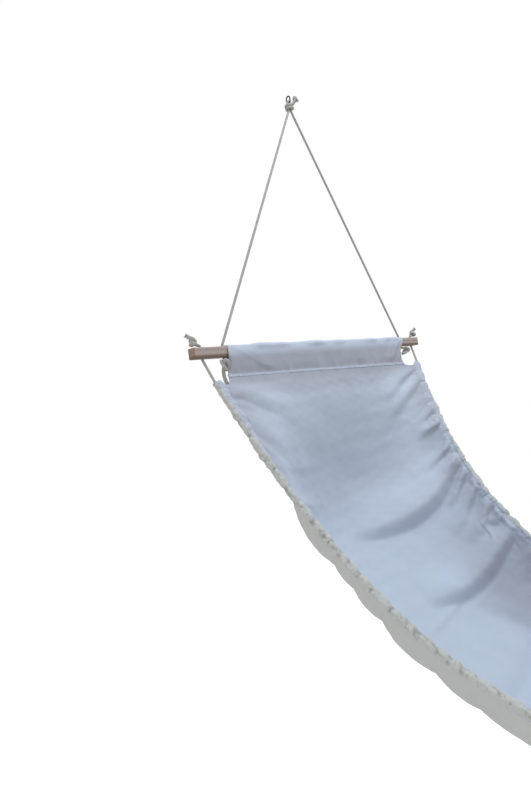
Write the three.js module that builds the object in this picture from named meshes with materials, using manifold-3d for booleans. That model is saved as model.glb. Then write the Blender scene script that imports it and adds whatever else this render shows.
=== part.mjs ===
// Rope and canvas hammock with two square spreader bars, hung from two steel links.
// Millimetres. +X runs along the hammock from its far end to its near end, +Y along the bars,
// +Z up. The origin is the bearing point inside the top of the far link.
import * as THREE from 'three';
import Module from 'manifold-3d';
import { mergeVertices } from 'three/addons/utils/BufferGeometryUtils.js';

const wasm = await Module();
wasm.setup();

// Clearances
const SEAT_GAP = 0.3;
const ROPE_SELF_GAP = 0.5;
const SEAM_GAP = 0.7;

// Spreader bars
const BAR_LENGTH = 1000;
const BAR_SIDE = 28;
const BAR_EDGE_RADIUS = 3;
const BAR_END_CHAMFER = 1.5;
const BAR_ARC_STEPS = 3;
const OUTER_HOLE_FROM_END = 29;
const INNER_HOLE_FROM_OUTER = 69;

// Ropes
const ROPE_DIAMETER = 7;
const ROPE_HOLE_CLEARANCE = 2;
const ROPE_HOLE_SIDES = 16;
const ROPE_SIDES = 8;
const ROPE_STEP = 41;

// Hanging links
const LINK_WIRE = 4;
const LINK_BEND_RADIUS = 7;
const LINK_STRAIGHT = 8;
const LINK_STEPS = 24;
const LINK_SIDES = 8;

// How each end hangs
const HANGER_LENGTH = 745;
const HANGER_SLOPE = THREE.MathUtils.degToRad(77.8);
const CLOTH_SLOPE = THREE.MathUtils.degToRad(57.9);
const LEG_JOIN_BELOW_LINK = 21;
const LEG_JOIN_LENGTH = 13;

// Cloth
const CLOTH_THICKNESS = 2;
const SLEEVE_TIP_RADIUS = 1.2;
const EDGE_ROPE_IN_CASING = 2054;
const CASING_BELOW_BAR = 66;
const CASING_MOUTH_INSET = 12;
const WAIST_NARROWING = 138;
const BELLY_DEPTH = 215;
const BELLY_RISE = 430;
const STITCH_BELOW_BAR = 55;
const SLEEVE_TO_ROPE = 3.5;
const SLEEVE_FLARE = 14;
const SLEEVE_ARC_STEPS = 4;
const NOTCH_DEPTH = 16;

// Gathered edge casings
const CASING_WALL = 2;
const CASING_BORE_CLEARANCE = 3;
const GATHER_PITCH = 41;
const GATHER_HEIGHT = 2.6;
const CASING_SIDES = 8;
const BORE_RING_EVERY = 3;

// Main folds of the bed, each from one place to another: distance from the far bar along the
// cloth, place across it from -1 at the left casing to 1 at the right one, height and width
const FOLDS = [
  { from: [450, 0.94], to: [488, 0.02], height: 17, width: 44 },
  { from: [600, 0.98], to: [560, 0.3], height: 12, width: 40 },
  { from: [752, 0.86], to: [698, 0.12], height: 16, width: 46 },
  { from: [905, 0.6], to: [738, -0.16], height: 13, width: 44 },
  { from: [300, 0.97], to: [250, 0.45], height: 8, width: 40 },
  { from: [640, -0.98], to: [700, -0.45], height: 10, width: 42 },
  { from: [880, -0.98], to: [930, -0.4], height: 10, width: 42 },
];
const FOLD_FADE = 0.6;
const BED_ROWS = 40;
const BED_COLUMNS = 12;

// Values that follow from the sizes above
const ROPE_RADIUS = ROPE_DIAMETER / 2;
const HOLE_RADIUS = ROPE_RADIUS + ROPE_HOLE_CLEARANCE / 2;
const HALF_BAR = BAR_SIDE / 2;
const OUTER_HOLE = BAR_LENGTH / 2 - OUTER_HOLE_FROM_END;
const INNER_HOLE = OUTER_HOLE - INNER_HOLE_FROM_OUTER;
const SLEEVE_HALF = INNER_HOLE - ROPE_RADIUS - SLEEVE_TO_ROPE;
const CASING_MOUTH = OUTER_HOLE - CASING_MOUTH_INSET;
const CASING_BORE_RADIUS = ROPE_RADIUS + CASING_BORE_CLEARANCE / 2;
const CASING_RADIUS = CASING_BORE_RADIUS + CASING_WALL;
const CASING_CREST = CASING_RADIUS + GATHER_HEIGHT;
const BED_LENGTH = EDGE_ROPE_IN_CASING + 2 * CASING_BELOW_BAR;
const CATENARY = EDGE_ROPE_IN_CASING / 2 / Math.tan(CLOTH_SLOPE);

// Directions: up each hanger, out of the bar's inner face, and up the cloth where it meets the bar
const HANGER_UP = new THREE.Vector3(-Math.cos(HANGER_SLOPE), 0, Math.sin(HANGER_SLOPE));
const BAR_FRONT = new THREE.Vector3(Math.sin(HANGER_SLOPE), 0, Math.cos(HANGER_SLOPE));
const CLOTH_UP = new THREE.Vector3(-Math.cos(CLOTH_SLOPE), 0, Math.sin(CLOTH_SLOPE));
const ALONG_BAR = new THREE.Vector3(0, 1, 0);

// Main places of the far end
const LINK_HALF = LINK_STRAIGHT / 2 + LINK_BEND_RADIUS;
const LINK_CENTRE = HANGER_UP.clone().multiplyScalar(LINK_WIRE / 2 - LINK_HALF);
const PIVOT = HANGER_UP.clone().multiplyScalar(LINK_WIRE / 2 - 2 * LINK_HALF);
const BAR_CENTRE = PIVOT.clone().addScaledVector(HANGER_UP, -HANGER_LENGTH);
const BAR_UNDERSIDE = BAR_CENTRE.clone().addScaledVector(HANGER_UP, -HALF_BAR);
const CASING_START = BAR_UNDERSIDE.clone().addScaledVector(CLOTH_UP, -CASING_BELOW_BAR);
const MIDDLE_X = CASING_START.x + CATENARY * Math.asinh(Math.tan(CLOTH_SLOPE));
const MIDDLE_Z = CASING_START.z - CATENARY * (1 / Math.cos(CLOTH_SLOPE) - 1);

// Finishes
const canvas = new THREE.MeshStandardMaterial({ color: 0xe9ecf0, roughness: 0.9, metalness: 0 });
const hemCloth = new THREE.MeshStandardMaterial({ color: 0xdfe0dc, roughness: 0.9, metalness: 0 });
const cottonRope = new THREE.MeshStandardMaterial({ color: 0xcfcdc4, roughness: 0.95, metalness: 0 });
const beechWood = new THREE.MeshStandardMaterial({ color: 0xc9ad95, roughness: 0.6, metalness: 0 });
const darkSteel = new THREE.MeshStandardMaterial({ color: 0x4a4c50, roughness: 0.35, metalness: 1 });

// A path through given points, one step for each stretch between two of them
class StepPath extends THREE.Curve {
  constructor(points) {
    super();
    this.points = points;
  }

  getUtoTmapping(u) {
    return u;
  }

  getPoint(t, target = new THREE.Vector3()) {
    const place = t * (this.points.length - 1);
    const index = Math.min(Math.floor(place), this.points.length - 2);
    return target.lerpVectors(this.points[index], this.points[index + 1], place - index);
  }

  getTangent(t, target = new THREE.Vector3()) {
    const index = Math.round(t * (this.points.length - 1));
    const before = this.points[Math.max(index - 1, 0)];
    const after = this.points[Math.min(index + 1, this.points.length - 1)];
    return target.subVectors(after, before).normalize();
  }
}

function ropeTube(points, radius = ROPE_RADIUS, sides = ROPE_SIDES) {
  const section = new THREE.Shape();
  for (let side = 0; side < sides; side++) {
    const angle = (side / sides) * 2 * Math.PI;
    const x = radius * Math.cos(angle);
    const y = radius * Math.sin(angle);
    if (side === 0) section.moveTo(x, y);
    else section.lineTo(x, y);
  }
  const path = new StepPath(points);
  return new THREE.ExtrudeGeometry(section, { steps: points.length - 1, extrudePath: path });
}

// Least gap of a tube to itself, leaving out stretches nearer along the tube than a few radii
const SAME_STRETCH = 4;

function leastGapToItself(points, radius) {
  const fine = [];
  for (let i = 0; i < points.length - 1; i++) {
    const parts = Math.max(1, Math.ceil(points[i].distanceTo(points[i + 1]) / radius));
    for (let k = 0; k < parts; k++) fine.push(points[i].clone().lerp(points[i + 1], k / parts));
  }
  const along = [0];
  for (let i = 1; i < fine.length; i++) along.push(along[i - 1] + fine[i].distanceTo(fine[i - 1]));
  let least = Infinity;
  for (let i = 0; i < fine.length; i++) {
    for (let k = i + 1; k < fine.length; k++) {
      if (along[k] - along[i] < SAME_STRETCH * radius) continue;
      least = Math.min(least, fine[i].distanceTo(fine[k]));
    }
  }
  return least - 2 * radius;
}

function bezierPoints(start, startPull, endPull, end, count) {
  return new THREE.CubicBezierCurve3(start, startPull, endPull, end).getPoints(count);
}

// The near end is the far end turned half round about the hammock's middle
function turnToNear(point) {
  return new THREE.Vector3(2 * MIDDLE_X - point.x, -point.y, point.z);
}

function turnedMesh(geometry, material, name) {
  const mesh = new THREE.Mesh(geometry, material);
  mesh.name = name;
  mesh.rotation.z = Math.PI;
  mesh.position.x = 2 * MIDDLE_X;
  return mesh;
}

function namedMesh(geometry, material, name) {
  const mesh = new THREE.Mesh(geometry, material);
  mesh.name = name;
  return mesh;
}

function toSolid(geometry) {
  const bare = geometry.clone();
  bare.deleteAttribute('normal');
  bare.deleteAttribute('uv');
  const merged = mergeVertices(bare, 1e-4);
  const vertProperties = new Float32Array(merged.attributes.position.array);
  const triVerts = new Uint32Array(merged.index.array);
  return new wasm.Manifold(new wasm.Mesh({ numProp: 3, vertProperties, triVerts }));
}

function toGeometry(solid) {
  const mesh = solid.getMesh();
  const geometry = new THREE.BufferGeometry();
  geometry.setAttribute('position', new THREE.BufferAttribute(mesh.vertProperties, 3));
  geometry.setIndex(new THREE.BufferAttribute(mesh.triVerts, 1));
  geometry.computeVertexNormals();
  return geometry;
}

// Bars: square battens with rounded edges and four rope holes, drilled along the hanger
function barFrame(geometry) {
  const frame = new THREE.Matrix4().makeBasis(BAR_FRONT, ALONG_BAR, HANGER_UP);
  frame.setPosition(BAR_CENTRE);
  return geometry.applyMatrix4(frame);
}

function roundedSquare(side, radius) {
  const shape = new THREE.Shape();
  const corner = side / 2 - radius;
  shape.absarc(corner, corner, radius, 0, Math.PI / 2);
  shape.absarc(-corner, corner, radius, Math.PI / 2, Math.PI);
  shape.absarc(-corner, -corner, radius, Math.PI, 1.5 * Math.PI);
  shape.absarc(corner, -corner, radius, 1.5 * Math.PI, 2 * Math.PI);
  return shape;
}

function makeBar() {
  const shape = roundedSquare(BAR_SIDE, BAR_EDGE_RADIUS);
  const batten = new THREE.ExtrudeGeometry(shape, {
    depth: BAR_LENGTH - 2 * BAR_END_CHAMFER,
    steps: 1,
    curveSegments: BAR_ARC_STEPS,
    bevelEnabled: true,
    bevelThickness: BAR_END_CHAMFER,
    bevelSize: BAR_END_CHAMFER,
    bevelOffset: -BAR_END_CHAMFER,
    bevelSegments: 1,
  });
  batten.translate(0, 0, BAR_END_CHAMFER - BAR_LENGTH / 2);
  batten.rotateX(-Math.PI / 2);
  let solid = toSolid(batten);
  for (const place of [-OUTER_HOLE, -INNER_HOLE, INNER_HOLE, OUTER_HOLE]) {
    const drill = new THREE.CylinderGeometry(HOLE_RADIUS, HOLE_RADIUS, 2 * BAR_SIDE, ROPE_HOLE_SIDES);
    drill.rotateX(Math.PI / 2);
    drill.translate(0, place, 0);
    solid = solid.subtract(toSolid(drill));
  }
  return barFrame(toGeometry(solid));
}

// Hanging link: an oval of round steel wire in the plane of the hammock's length
class OvalPath extends THREE.Curve {
  getPoint(t, target = new THREE.Vector3()) {
    const arc = Math.PI * LINK_BEND_RADIUS;
    const place = (t % 1) * (2 * arc + 2 * LINK_STRAIGHT);
    const half = LINK_STRAIGHT / 2;
    if (place < arc) {
      const angle = place / LINK_BEND_RADIUS;
      return target.set(LINK_BEND_RADIUS * Math.cos(angle), 0, half + LINK_BEND_RADIUS * Math.sin(angle));
    }
    if (place < arc + LINK_STRAIGHT) return target.set(-LINK_BEND_RADIUS, 0, half - (place - arc));
    if (place < 2 * arc + LINK_STRAIGHT) {
      const angle = Math.PI + (place - arc - LINK_STRAIGHT) / LINK_BEND_RADIUS;
      return target.set(LINK_BEND_RADIUS * Math.cos(angle), 0, -half + LINK_BEND_RADIUS * Math.sin(angle));
    }
    return target.set(LINK_BEND_RADIUS, 0, -half + (place - 2 * arc - LINK_STRAIGHT));
  }
}

function makeLink() {
  const link = new THREE.TubeGeometry(new OvalPath(), LINK_STEPS, LINK_WIRE / 2, LINK_SIDES, true);
  const frame = new THREE.Matrix4().makeBasis(BAR_FRONT, ALONG_BAR, HANGER_UP);
  frame.setPosition(LINK_CENTRE);
  return link.applyMatrix4(frame);
}

// Stopper knots: an overhand knot whose loops follow a three-lobed ring, in rope diameters
const KNOT_RING = 1.27;
const KNOT_LOBE = 0.58;
const KNOT_FIRST_ANGLE = THREE.MathUtils.degToRad(30);
const KNOT_LAST_ANGLE = THREE.MathUtils.degToRad(318);
const KNOT_STEPS = 24;
const KNOT_LEAD = new THREE.Vector2(1.75, 1.2);
const KNOT_REST = 0.62;
const KNOT_PULL = 0.75;
const KNOT_BEND_STEPS = 5;

function knotRing(angle) {
  const radius = KNOT_RING + KNOT_LOBE * Math.cos(3 * angle);
  const x = radius * Math.cos(2 * angle);
  const y = radius * Math.sin(2 * angle);
  return new THREE.Vector3(x, y, -KNOT_LOBE * Math.sin(3 * angle));
}

// Points of a knot in rope diameters, from the rope that comes straight out of its hole at the
// local origin, along +Z, to the tip of the tail
function knotShape(tailTip, tailEndPull) {
  const points = [];
  for (let step = 0; step <= KNOT_STEPS; step++) {
    const share = step / KNOT_STEPS;
    points.push(knotRing(KNOT_FIRST_ANGLE + share * (KNOT_LAST_ANGLE - KNOT_FIRST_ANGLE)));
  }
  const first = points[0];
  const last = points[points.length - 1];
  const intoRing = points[1].clone().sub(first).normalize();
  const outOfRing = last.clone().sub(points[points.length - 2]).normalize();
  const mouth = new THREE.Vector3(KNOT_LEAD.x, KNOT_LEAD.y, -KNOT_LOBE - KNOT_REST);
  const rise = mouth.clone().add(new THREE.Vector3(0, 0, KNOT_PULL));
  const draw = first.clone().addScaledVector(intoRing, -KNOT_PULL);
  const lead = bezierPoints(mouth, rise, draw, first, KNOT_BEND_STEPS);
  const leave = last.clone().addScaledVector(outOfRing, KNOT_PULL);
  const tail = bezierPoints(last, leave, tailEndPull, tailTip, KNOT_BEND_STEPS);
  const route = [...lead.slice(0, -1), ...points, ...tail.slice(1)];
  const turn = Math.atan2(KNOT_LEAD.y, KNOT_LEAD.x);
  const axis = new THREE.Vector3(0, 0, 1);
  return route.map((point) => point.clone().sub(mouth).applyAxisAngle(axis, -turn));
}

// A knot outside a hole of the far bar: out is the way the rope leaves the hole, and toHole
// points from the knot's body to the hole
function stopperKnot(hole, out, toHole, tailTip, tailEndPull) {
  const side = new THREE.Vector3().crossVectors(out, toHole);
  return knotShape(tailTip, tailEndPull).map((point) =>
    hole.clone()
      .addScaledVector(toHole, point.x * ROPE_DIAMETER)
      .addScaledVector(side, point.y * ROPE_DIAMETER)
      .addScaledVector(out, point.z * ROPE_DIAMETER + SEAT_GAP),
  );
}

function onBar(place, front, up) {
  return BAR_CENTRE.clone()
    .addScaledVector(ALONG_BAR, place)
    .addScaledVector(BAR_FRONT, front)
    .addScaledVector(HANGER_UP, up);
}

// Tail of the knots, in rope diameters from the ring's centre: tip, then the pull at the tip
const OUTER_TAIL = { tip: new THREE.Vector3(-2.9, -0.9, 2.8), pull: new THREE.Vector3(-1.6, -1.2, 2.5) };
const INNER_TAIL = { tip: new THREE.Vector3(0.6, -1.2, 4.6), pull: new THREE.Vector3(0.9, -1.2, 3.2) };

// How far forward of the bar the inner knots' bodies lie, as a share of their way outward
const INNER_KNOT_FORWARD = 0.45;

function outerKnot(side) {
  const hole = onBar(side * OUTER_HOLE, 0, HALF_BAR);
  const toHole = ALONG_BAR.clone().multiplyScalar(-side);
  return stopperKnot(hole, HANGER_UP, toHole, OUTER_TAIL.tip, OUTER_TAIL.pull);
}

function innerKnot(side) {
  const hole = onBar(side * INNER_HOLE, 0, -HALF_BAR);
  const down = HANGER_UP.clone().negate();
  const inward = ALONG_BAR.clone().multiplyScalar(-side);
  const toHole = inward.addScaledVector(BAR_FRONT, -INNER_KNOT_FORWARD).normalize();
  return stopperKnot(hole, down, toHole, INNER_TAIL.tip, INNER_TAIL.pull);
}

// Round one corner of a route with an arc-like bend
function bend(before, corner, after, reach, count) {
  const into = before.clone().sub(corner).setLength(reach).add(corner);
  const away = after.clone().sub(corner).setLength(reach).add(corner);
  return new THREE.QuadraticBezierCurve3(into, corner, away).getPoints(count);
}

// Hanger rope: knot, leg, bight over the link's lower wire, leg, knot
const BIGHT_RADIUS = LINK_WIRE / 2 + ROPE_SELF_GAP + ROPE_RADIUS;
const BIGHT_WRAP = THREE.MathUtils.degToRad(25);
const BIGHT_STEPS = 12;
const LEG_JOIN_SPREAD = ROPE_RADIUS + ROPE_SELF_GAP / 2;

function hangerLeg(side) {
  const join = HANGER_LENGTH - LEG_JOIN_BELOW_LINK;
  const mouth = onBar(side * INNER_HOLE, 0, HALF_BAR + 1);
  const joinStart = onBar(side * LEG_JOIN_SPREAD, 0, join);
  const joinEnd = onBar(side * LEG_JOIN_SPREAD, 0, join + LEG_JOIN_LENGTH);
  const inHole = onBar(side * INNER_HOLE, 0, -HALF_BAR + ROPE_RADIUS);
  return [
    inHole,
    ...bend(inHole, mouth, joinStart, ROPE_RADIUS, 3),
    ...bend(mouth, joinStart, joinEnd, LEG_JOIN_LENGTH / 3, 3),
    joinEnd,
  ];
}

function bight() {
  const points = [];
  for (let step = 0; step <= BIGHT_STEPS; step++) {
    const angle = (step / BIGHT_STEPS) * (Math.PI + 2 * BIGHT_WRAP) - BIGHT_WRAP;
    const across = -BIGHT_RADIUS * Math.cos(angle);
    points.push(onBar(across, 0, HANGER_LENGTH + BIGHT_RADIUS * Math.sin(angle)));
  }
  return points;
}

function hangerRopeRoute() {
  return [
    ...innerKnot(-1).reverse(),
    ...hangerLeg(-1),
    ...bight(),
    ...hangerLeg(1).reverse(),
    ...innerKnot(1),
  ];
}

// Lashing: a turn and a half round both legs under the link, with one short tucked end and one
// tail that curls over in front of the link
const LASHING_TURNS = 1.5;
const LASHING_STEPS_PER_TURN = 12;
const LASHING_WIDE = LEG_JOIN_SPREAD + 2 * ROPE_RADIUS + 2 * ROPE_SELF_GAP;
const LASHING_DEEP = 2 * ROPE_RADIUS + 2.4 * ROPE_SELF_GAP;
const LASHING_PITCH = ROPE_DIAMETER + ROPE_SELF_GAP;
const LASHING_ABOVE_JOIN = 2;
const LASHING_LOW = HANGER_LENGTH - LEG_JOIN_BELOW_LINK + LASHING_ABOVE_JOIN;

// The tail's places, each across, in front and up from the lashing's lowest turn
const LASHING_TAIL_STEPS = 16;
const LASHING_TAIL = [[6, 11, 14], [11, 15, 23], [10, 15.5, 33], [16, 15.5, 35], [19, 15.5, 27]];

function lashingRoute() {
  const points = [];
  const steps = LASHING_TURNS * LASHING_STEPS_PER_TURN;
  for (let step = 0; step <= steps; step++) {
    const angle = Math.PI + (step / LASHING_STEPS_PER_TURN) * 2 * Math.PI;
    const up = LASHING_LOW + (step / LASHING_STEPS_PER_TURN) * LASHING_PITCH;
    points.push(onBar(LASHING_WIDE * Math.sin(angle), LASHING_DEEP * Math.cos(angle), up));
  }
  const last = points.slice(-2);
  const tailPoints = LASHING_TAIL.map(([across, front, up]) => onBar(across, front, LASHING_LOW + up));
  const tail = new THREE.CatmullRomCurve3([...last, ...tailPoints]).getPoints(LASHING_TAIL_STEPS);
  const pastLast = tail.findIndex((point) => point.distanceTo(last[1]) < ROPE_RADIUS) + 1;
  return [...points, ...tail.slice(pastLast)];
}

// The line of the cloth's edge, by distance along it from the far bar's underside
function edgeLine(distance) {
  const fromFar = Math.min(distance, BED_LENGTH - distance);
  const half = EDGE_ROPE_IN_CASING / 2;
  const toMiddle = BED_LENGTH / 2 - fromFar;
  const curved = Math.min(toMiddle, half);
  const straight = toMiddle - curved;
  const slope = curved / CATENARY;
  const x = MIDDLE_X - CATENARY * Math.asinh(slope) + straight * CLOTH_UP.x;
  const z = MIDDLE_Z + CATENARY * (Math.sqrt(1 + slope * slope) - 1) + straight * CLOTH_UP.z;
  const run = 1 / Math.sqrt(1 + slope * slope);
  const fall = -slope * run;
  if (distance <= BED_LENGTH / 2) {
    return { x, z, outX: fall, outZ: -run, fromFar };
  }
  return { x: 2 * MIDDLE_X - x, z, outX: -fall, outZ: -run, fromFar };
}

function edgeHalfWidth(fromFar) {
  const share = (fromFar - CASING_BELOW_BAR) / (EDGE_ROPE_IN_CASING / 2);
  return CASING_MOUTH - WAIST_NARROWING * share * (2 - share);
}

function edgePoint(distance, side) {
  const line = edgeLine(distance);
  return new THREE.Vector3(line.x, side * edgeHalfWidth(line.fromFar), line.z);
}

// Edge rope: outer knot, down through the far bar, along the cloth's edge, up through the near
// bar and its outer knot
function edgeRopeEnd(side) {
  const underHole = onBar(side * OUTER_HOLE, 0, -HALF_BAR - 1);
  const inHole = onBar(side * OUTER_HOLE, 0, HALF_BAR - ROPE_RADIUS);
  const casing = edgePoint(CASING_BELOW_BAR, side);
  return [...outerKnot(side).reverse(), inHole, ...bend(inHole, underHole, casing, ROPE_RADIUS, 3)];
}

function edgeRopeRoute(side) {
  const points = edgeRopeEnd(side);
  const count = Math.round(EDGE_ROPE_IN_CASING / ROPE_STEP);
  for (let step = 0; step <= count; step++) {
    points.push(edgePoint(CASING_BELOW_BAR + (step / count) * EDGE_ROPE_IN_CASING, side));
  }
  return [...points, ...edgeRopeEnd(-side).map(turnToNear).reverse()];
}

// A closed tube of cloth with an open bore: rings of points outside and inside, joined at the ends
function boredTube(outerRings, innerRings) {
  const sides = outerRings[0].length;
  const positions = [];
  const indices = [];
  for (const ring of [...outerRings, ...innerRings]) {
    for (const point of ring) positions.push(point.x, point.y, point.z);
  }
  const innerStart = outerRings.length * sides;
  const band = (first, second) => {
    for (let side = 0; side < sides; side++) {
      const next = (side + 1) % sides;
      indices.push(first + side, first + next, second + next);
      indices.push(first + side, second + next, second + side);
    }
  };
  for (let ring = 0; ring < outerRings.length - 1; ring++) band(ring * sides, (ring + 1) * sides);
  for (let ring = innerRings.length - 1; ring > 0; ring--) {
    band(innerStart + ring * sides, innerStart + (ring - 1) * sides);
  }
  band(innerStart, 0);
  band(innerStart - sides, innerStart + (innerRings.length - 1) * sides);
  const geometry = new THREE.BufferGeometry();
  geometry.setAttribute('position', new THREE.Float32BufferAttribute(positions, 3));
  geometry.setIndex(indices);
  geometry.computeVertexNormals();
  return geometry;
}

// Gathered casing: its wall stands out at each gather and draws in between two
function casingRing(distance, side, radius) {
  const centre = edgePoint(distance, side);
  const before = edgePoint(distance - 1, side);
  const after = edgePoint(distance + 1, side);
  const forward = after.sub(before).normalize();
  const across = new THREE.Vector3().crossVectors(forward, ALONG_BAR).normalize();
  const other = new THREE.Vector3().crossVectors(forward, across);
  const ring = [];
  for (let point = 0; point < CASING_SIDES; point++) {
    const angle = ((point + 0.5) / CASING_SIDES) * 2 * Math.PI;
    ring.push(centre.clone()
      .addScaledVector(across, radius * Math.cos(angle))
      .addScaledVector(other, radius * Math.sin(angle)));
  }
  return ring;
}

function makeCasing(side) {
  const gathers = Math.round(EDGE_ROPE_IN_CASING / GATHER_PITCH);
  const outerRings = [];
  const innerRings = [];
  for (let step = 0; step <= 2 * gathers; step++) {
    const distance = CASING_BELOW_BAR + (step / (2 * gathers)) * EDGE_ROPE_IN_CASING;
    const radius = step % 2 === 0 ? CASING_RADIUS : CASING_CREST;
    outerRings.push(casingRing(distance, side, radius));
    if (step % BORE_RING_EVERY === 0 || step === 2 * gathers) {
      innerRings.push(casingRing(distance, side, CASING_BORE_RADIUS));
    }
  }
  return boredTube(outerRings, innerRings);
}

// Bed: one panel between the casings, bellied across and folded, with notched corners
function bellyDepth(fromFar) {
  const share = THREE.MathUtils.clamp((fromFar - STITCH_BELOW_BAR) / BELLY_RISE, 0, 1);
  return BELLY_DEPTH * share * share * (3 - 2 * share);
}

function foldHeight(distance, across) {
  const acrossScale = CASING_MOUTH;
  let height = 0;
  for (const fold of FOLDS) {
    for (const turned of [false, true]) {
      const here = new THREE.Vector2(distance, across * acrossScale);
      if (turned) here.set(BED_LENGTH - distance, -across * acrossScale);
      const from = new THREE.Vector2(fold.from[0], fold.from[1] * acrossScale);
      const to = new THREE.Vector2(fold.to[0], fold.to[1] * acrossScale);
      const run = to.clone().sub(from);
      const share = THREE.MathUtils.clamp(here.clone().sub(from).dot(run) / run.lengthSq(), 0, 1);
      const off = here.distanceTo(from.addScaledVector(run, share)) / fold.width;
      height += fold.height * (1 - FOLD_FADE * share) * Math.exp(-off * off);
    }
  }
  return height;
}

// Place on the bed's middle surface, and the way to its underside there
function bedPlace(distance, across, inset) {
  const line = edgeLine(distance);
  const half = edgeHalfWidth(line.fromFar);
  const belly = bellyDepth(line.fromFar);
  const lean = Math.max(2 * Math.atan(belly / half), 0.001);
  const halfArc = (half * lean) / Math.sin(lean);
  const place = across * (1 - inset / halfArc);
  const y = (half * Math.sin(lean * place)) / Math.sin(lean);
  const sag = (belly * (Math.cos(lean * place) - Math.cos(lean))) / (1 - Math.cos(lean));
  const edgeFade = 1 - across ** 8;
  const endFade = Math.min(1, (line.fromFar - STITCH_BELOW_BAR) / (2 * NOTCH_DEPTH));
  const depth = sag - foldHeight(distance, across) * edgeFade * endFade;
  const middle = new THREE.Vector3(line.x + line.outX * depth, y, line.z + line.outZ * depth);
  const tilt = lean * place;
  const under = new THREE.Vector3(line.outX * Math.cos(tilt), Math.sin(tilt), line.outZ * Math.cos(tilt));
  return { middle, under };
}

// Rows of the bed: close together round the corner notches, even between them
const SEAM_ROW = STITCH_BELOW_BAR + CLOTH_THICKNESS / 2 + SEAT_GAP + SLEEVE_TIP_RADIUS;
const NOTCH_END = CASING_BELOW_BAR + NOTCH_DEPTH;
const NOTCH_SHARES = [0, 0.5, 0.8, 0.95];

function bedRows() {
  const notch = NOTCH_SHARES.map((share) => SEAM_ROW + share * (NOTCH_END - SEAM_ROW));
  const rows = [...notch];
  for (let row = 0; row <= BED_ROWS; row++) {
    rows.push(NOTCH_END + (row / BED_ROWS) * (BED_LENGTH - 2 * NOTCH_END));
  }
  rows.push(...notch.reverse().map((row) => BED_LENGTH - row));
  return rows;
}

// How far the bed's edge lies inside the casing's centre line: a rounded notch at each corner
function rowInset(distance) {
  const fromFar = Math.min(distance, BED_LENGTH - distance);
  const beside = CASING_CREST + SEAM_GAP;
  const share = (fromFar - SEAM_ROW) / (NOTCH_END - SEAM_ROW);
  if (share >= 1) return beside;
  const notchWidth = edgeHalfWidth(fromFar) - beside - SLEEVE_HALF - SLEEVE_FLARE;
  return beside + notchWidth * Math.sqrt(1 - share * share);
}

function makeBed() {
  const rows = bedRows();
  const columns = BED_COLUMNS + 1;
  const positions = [];
  for (const way of [-0.5, 0.5]) {
    for (const distance of rows) {
      for (let column = 0; column < columns; column++) {
        const across = (2 * column) / BED_COLUMNS - 1;
        const { middle, under } = bedPlace(distance, across, rowInset(distance));
        middle.addScaledVector(under, way * CLOTH_THICKNESS);
        positions.push(middle.x, middle.y, middle.z);
      }
    }
  }
  const lower = rows.length * columns;
  const indices = [];
  const quad = (a, b, c, d) => indices.push(a, b, c, a, c, d);
  for (let row = 0; row < rows.length - 1; row++) {
    for (let column = 0; column < BED_COLUMNS; column++) {
      const corner = row * columns + column;
      quad(corner, corner + columns, corner + columns + 1, corner + 1);
      quad(lower + corner, lower + corner + 1, lower + corner + columns + 1, lower + corner + columns);
    }
    const left = row * columns;
    const right = left + BED_COLUMNS;
    quad(left, lower + left, lower + left + columns, left + columns);
    quad(right, right + columns, lower + right + columns, lower + right);
  }
  for (let column = 0; column < BED_COLUMNS; column++) {
    const last = (rows.length - 1) * columns + column;
    quad(column, column + 1, lower + column + 1, lower + column);
    quad(last, lower + last, lower + last + 1, last + 1);
  }
  const geometry = new THREE.BufferGeometry();
  geometry.setAttribute('position', new THREE.Float32BufferAttribute(positions, 3));
  geometry.setIndex(indices);
  geometry.computeVertexNormals();
  return geometry;
}

// Sleeve: the cloth's end, folded round the bar and sewn to itself below it. Its section is a
// belt round three corners of the bar and the seam

function beltOutline(circles, arcSteps) {
  const points = [];
  circles.forEach((circle, index) => {
    const before = circles[(index + circles.length - 1) % circles.length];
    const after = circles[(index + 1) % circles.length];
    const start = tangentAngle(before, circle);
    let sweep = tangentAngle(circle, after) - start;
    while (sweep < 0) sweep += 2 * Math.PI;
    for (let step = 0; step <= arcSteps; step++) {
      const angle = start + (step / arcSteps) * sweep;
      points.push(new THREE.Vector2(
        circle.x + circle.radius * Math.cos(angle),
        circle.y + circle.radius * Math.sin(angle),
      ));
    }
  });
  return points;
}

// Where a belt that runs anticlockwise touches two circles, as an angle from each centre
function tangentAngle(first, second) {
  const run = new THREE.Vector2(second.x - first.x, second.y - first.y);
  const ease = Math.asin((first.radius - second.radius) / run.length());
  return Math.atan2(run.y, run.x) - Math.PI / 2 + ease;
}

function makeSleeve() {
  const corner = HALF_BAR - BAR_EDGE_RADIUS;
  const seam = CLOTH_UP.clone().multiplyScalar(-STITCH_BELOW_BAR);
  const seamFront = seam.dot(BAR_FRONT);
  const seamUp = seam.dot(HANGER_UP) - HALF_BAR;
  const circles = (grow) => [
    { x: corner, y: corner, radius: BAR_EDGE_RADIUS + SEAT_GAP + grow },
    { x: -corner, y: corner, radius: BAR_EDGE_RADIUS + SEAT_GAP + grow },
    { x: -corner, y: -corner, radius: BAR_EDGE_RADIUS + SEAT_GAP + grow },
    { x: seamFront, y: seamUp, radius: SLEEVE_TIP_RADIUS - CLOTH_THICKNESS / 2 + grow },
  ];
  const shape = new THREE.Shape(beltOutline(circles(CLOTH_THICKNESS), SLEEVE_ARC_STEPS));
  shape.holes.push(new THREE.Path(beltOutline(circles(0), SLEEVE_ARC_STEPS)));
  const sleeve = new THREE.ExtrudeGeometry(shape, { depth: 2 * SLEEVE_HALF, steps: 1, bevelEnabled: false });
  sleeve.translate(0, 0, -SLEEVE_HALF);
  sleeve.rotateX(Math.PI / 2);
  flare(sleeve, seamUp);
  return barFrame(sleeve);
}

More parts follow.
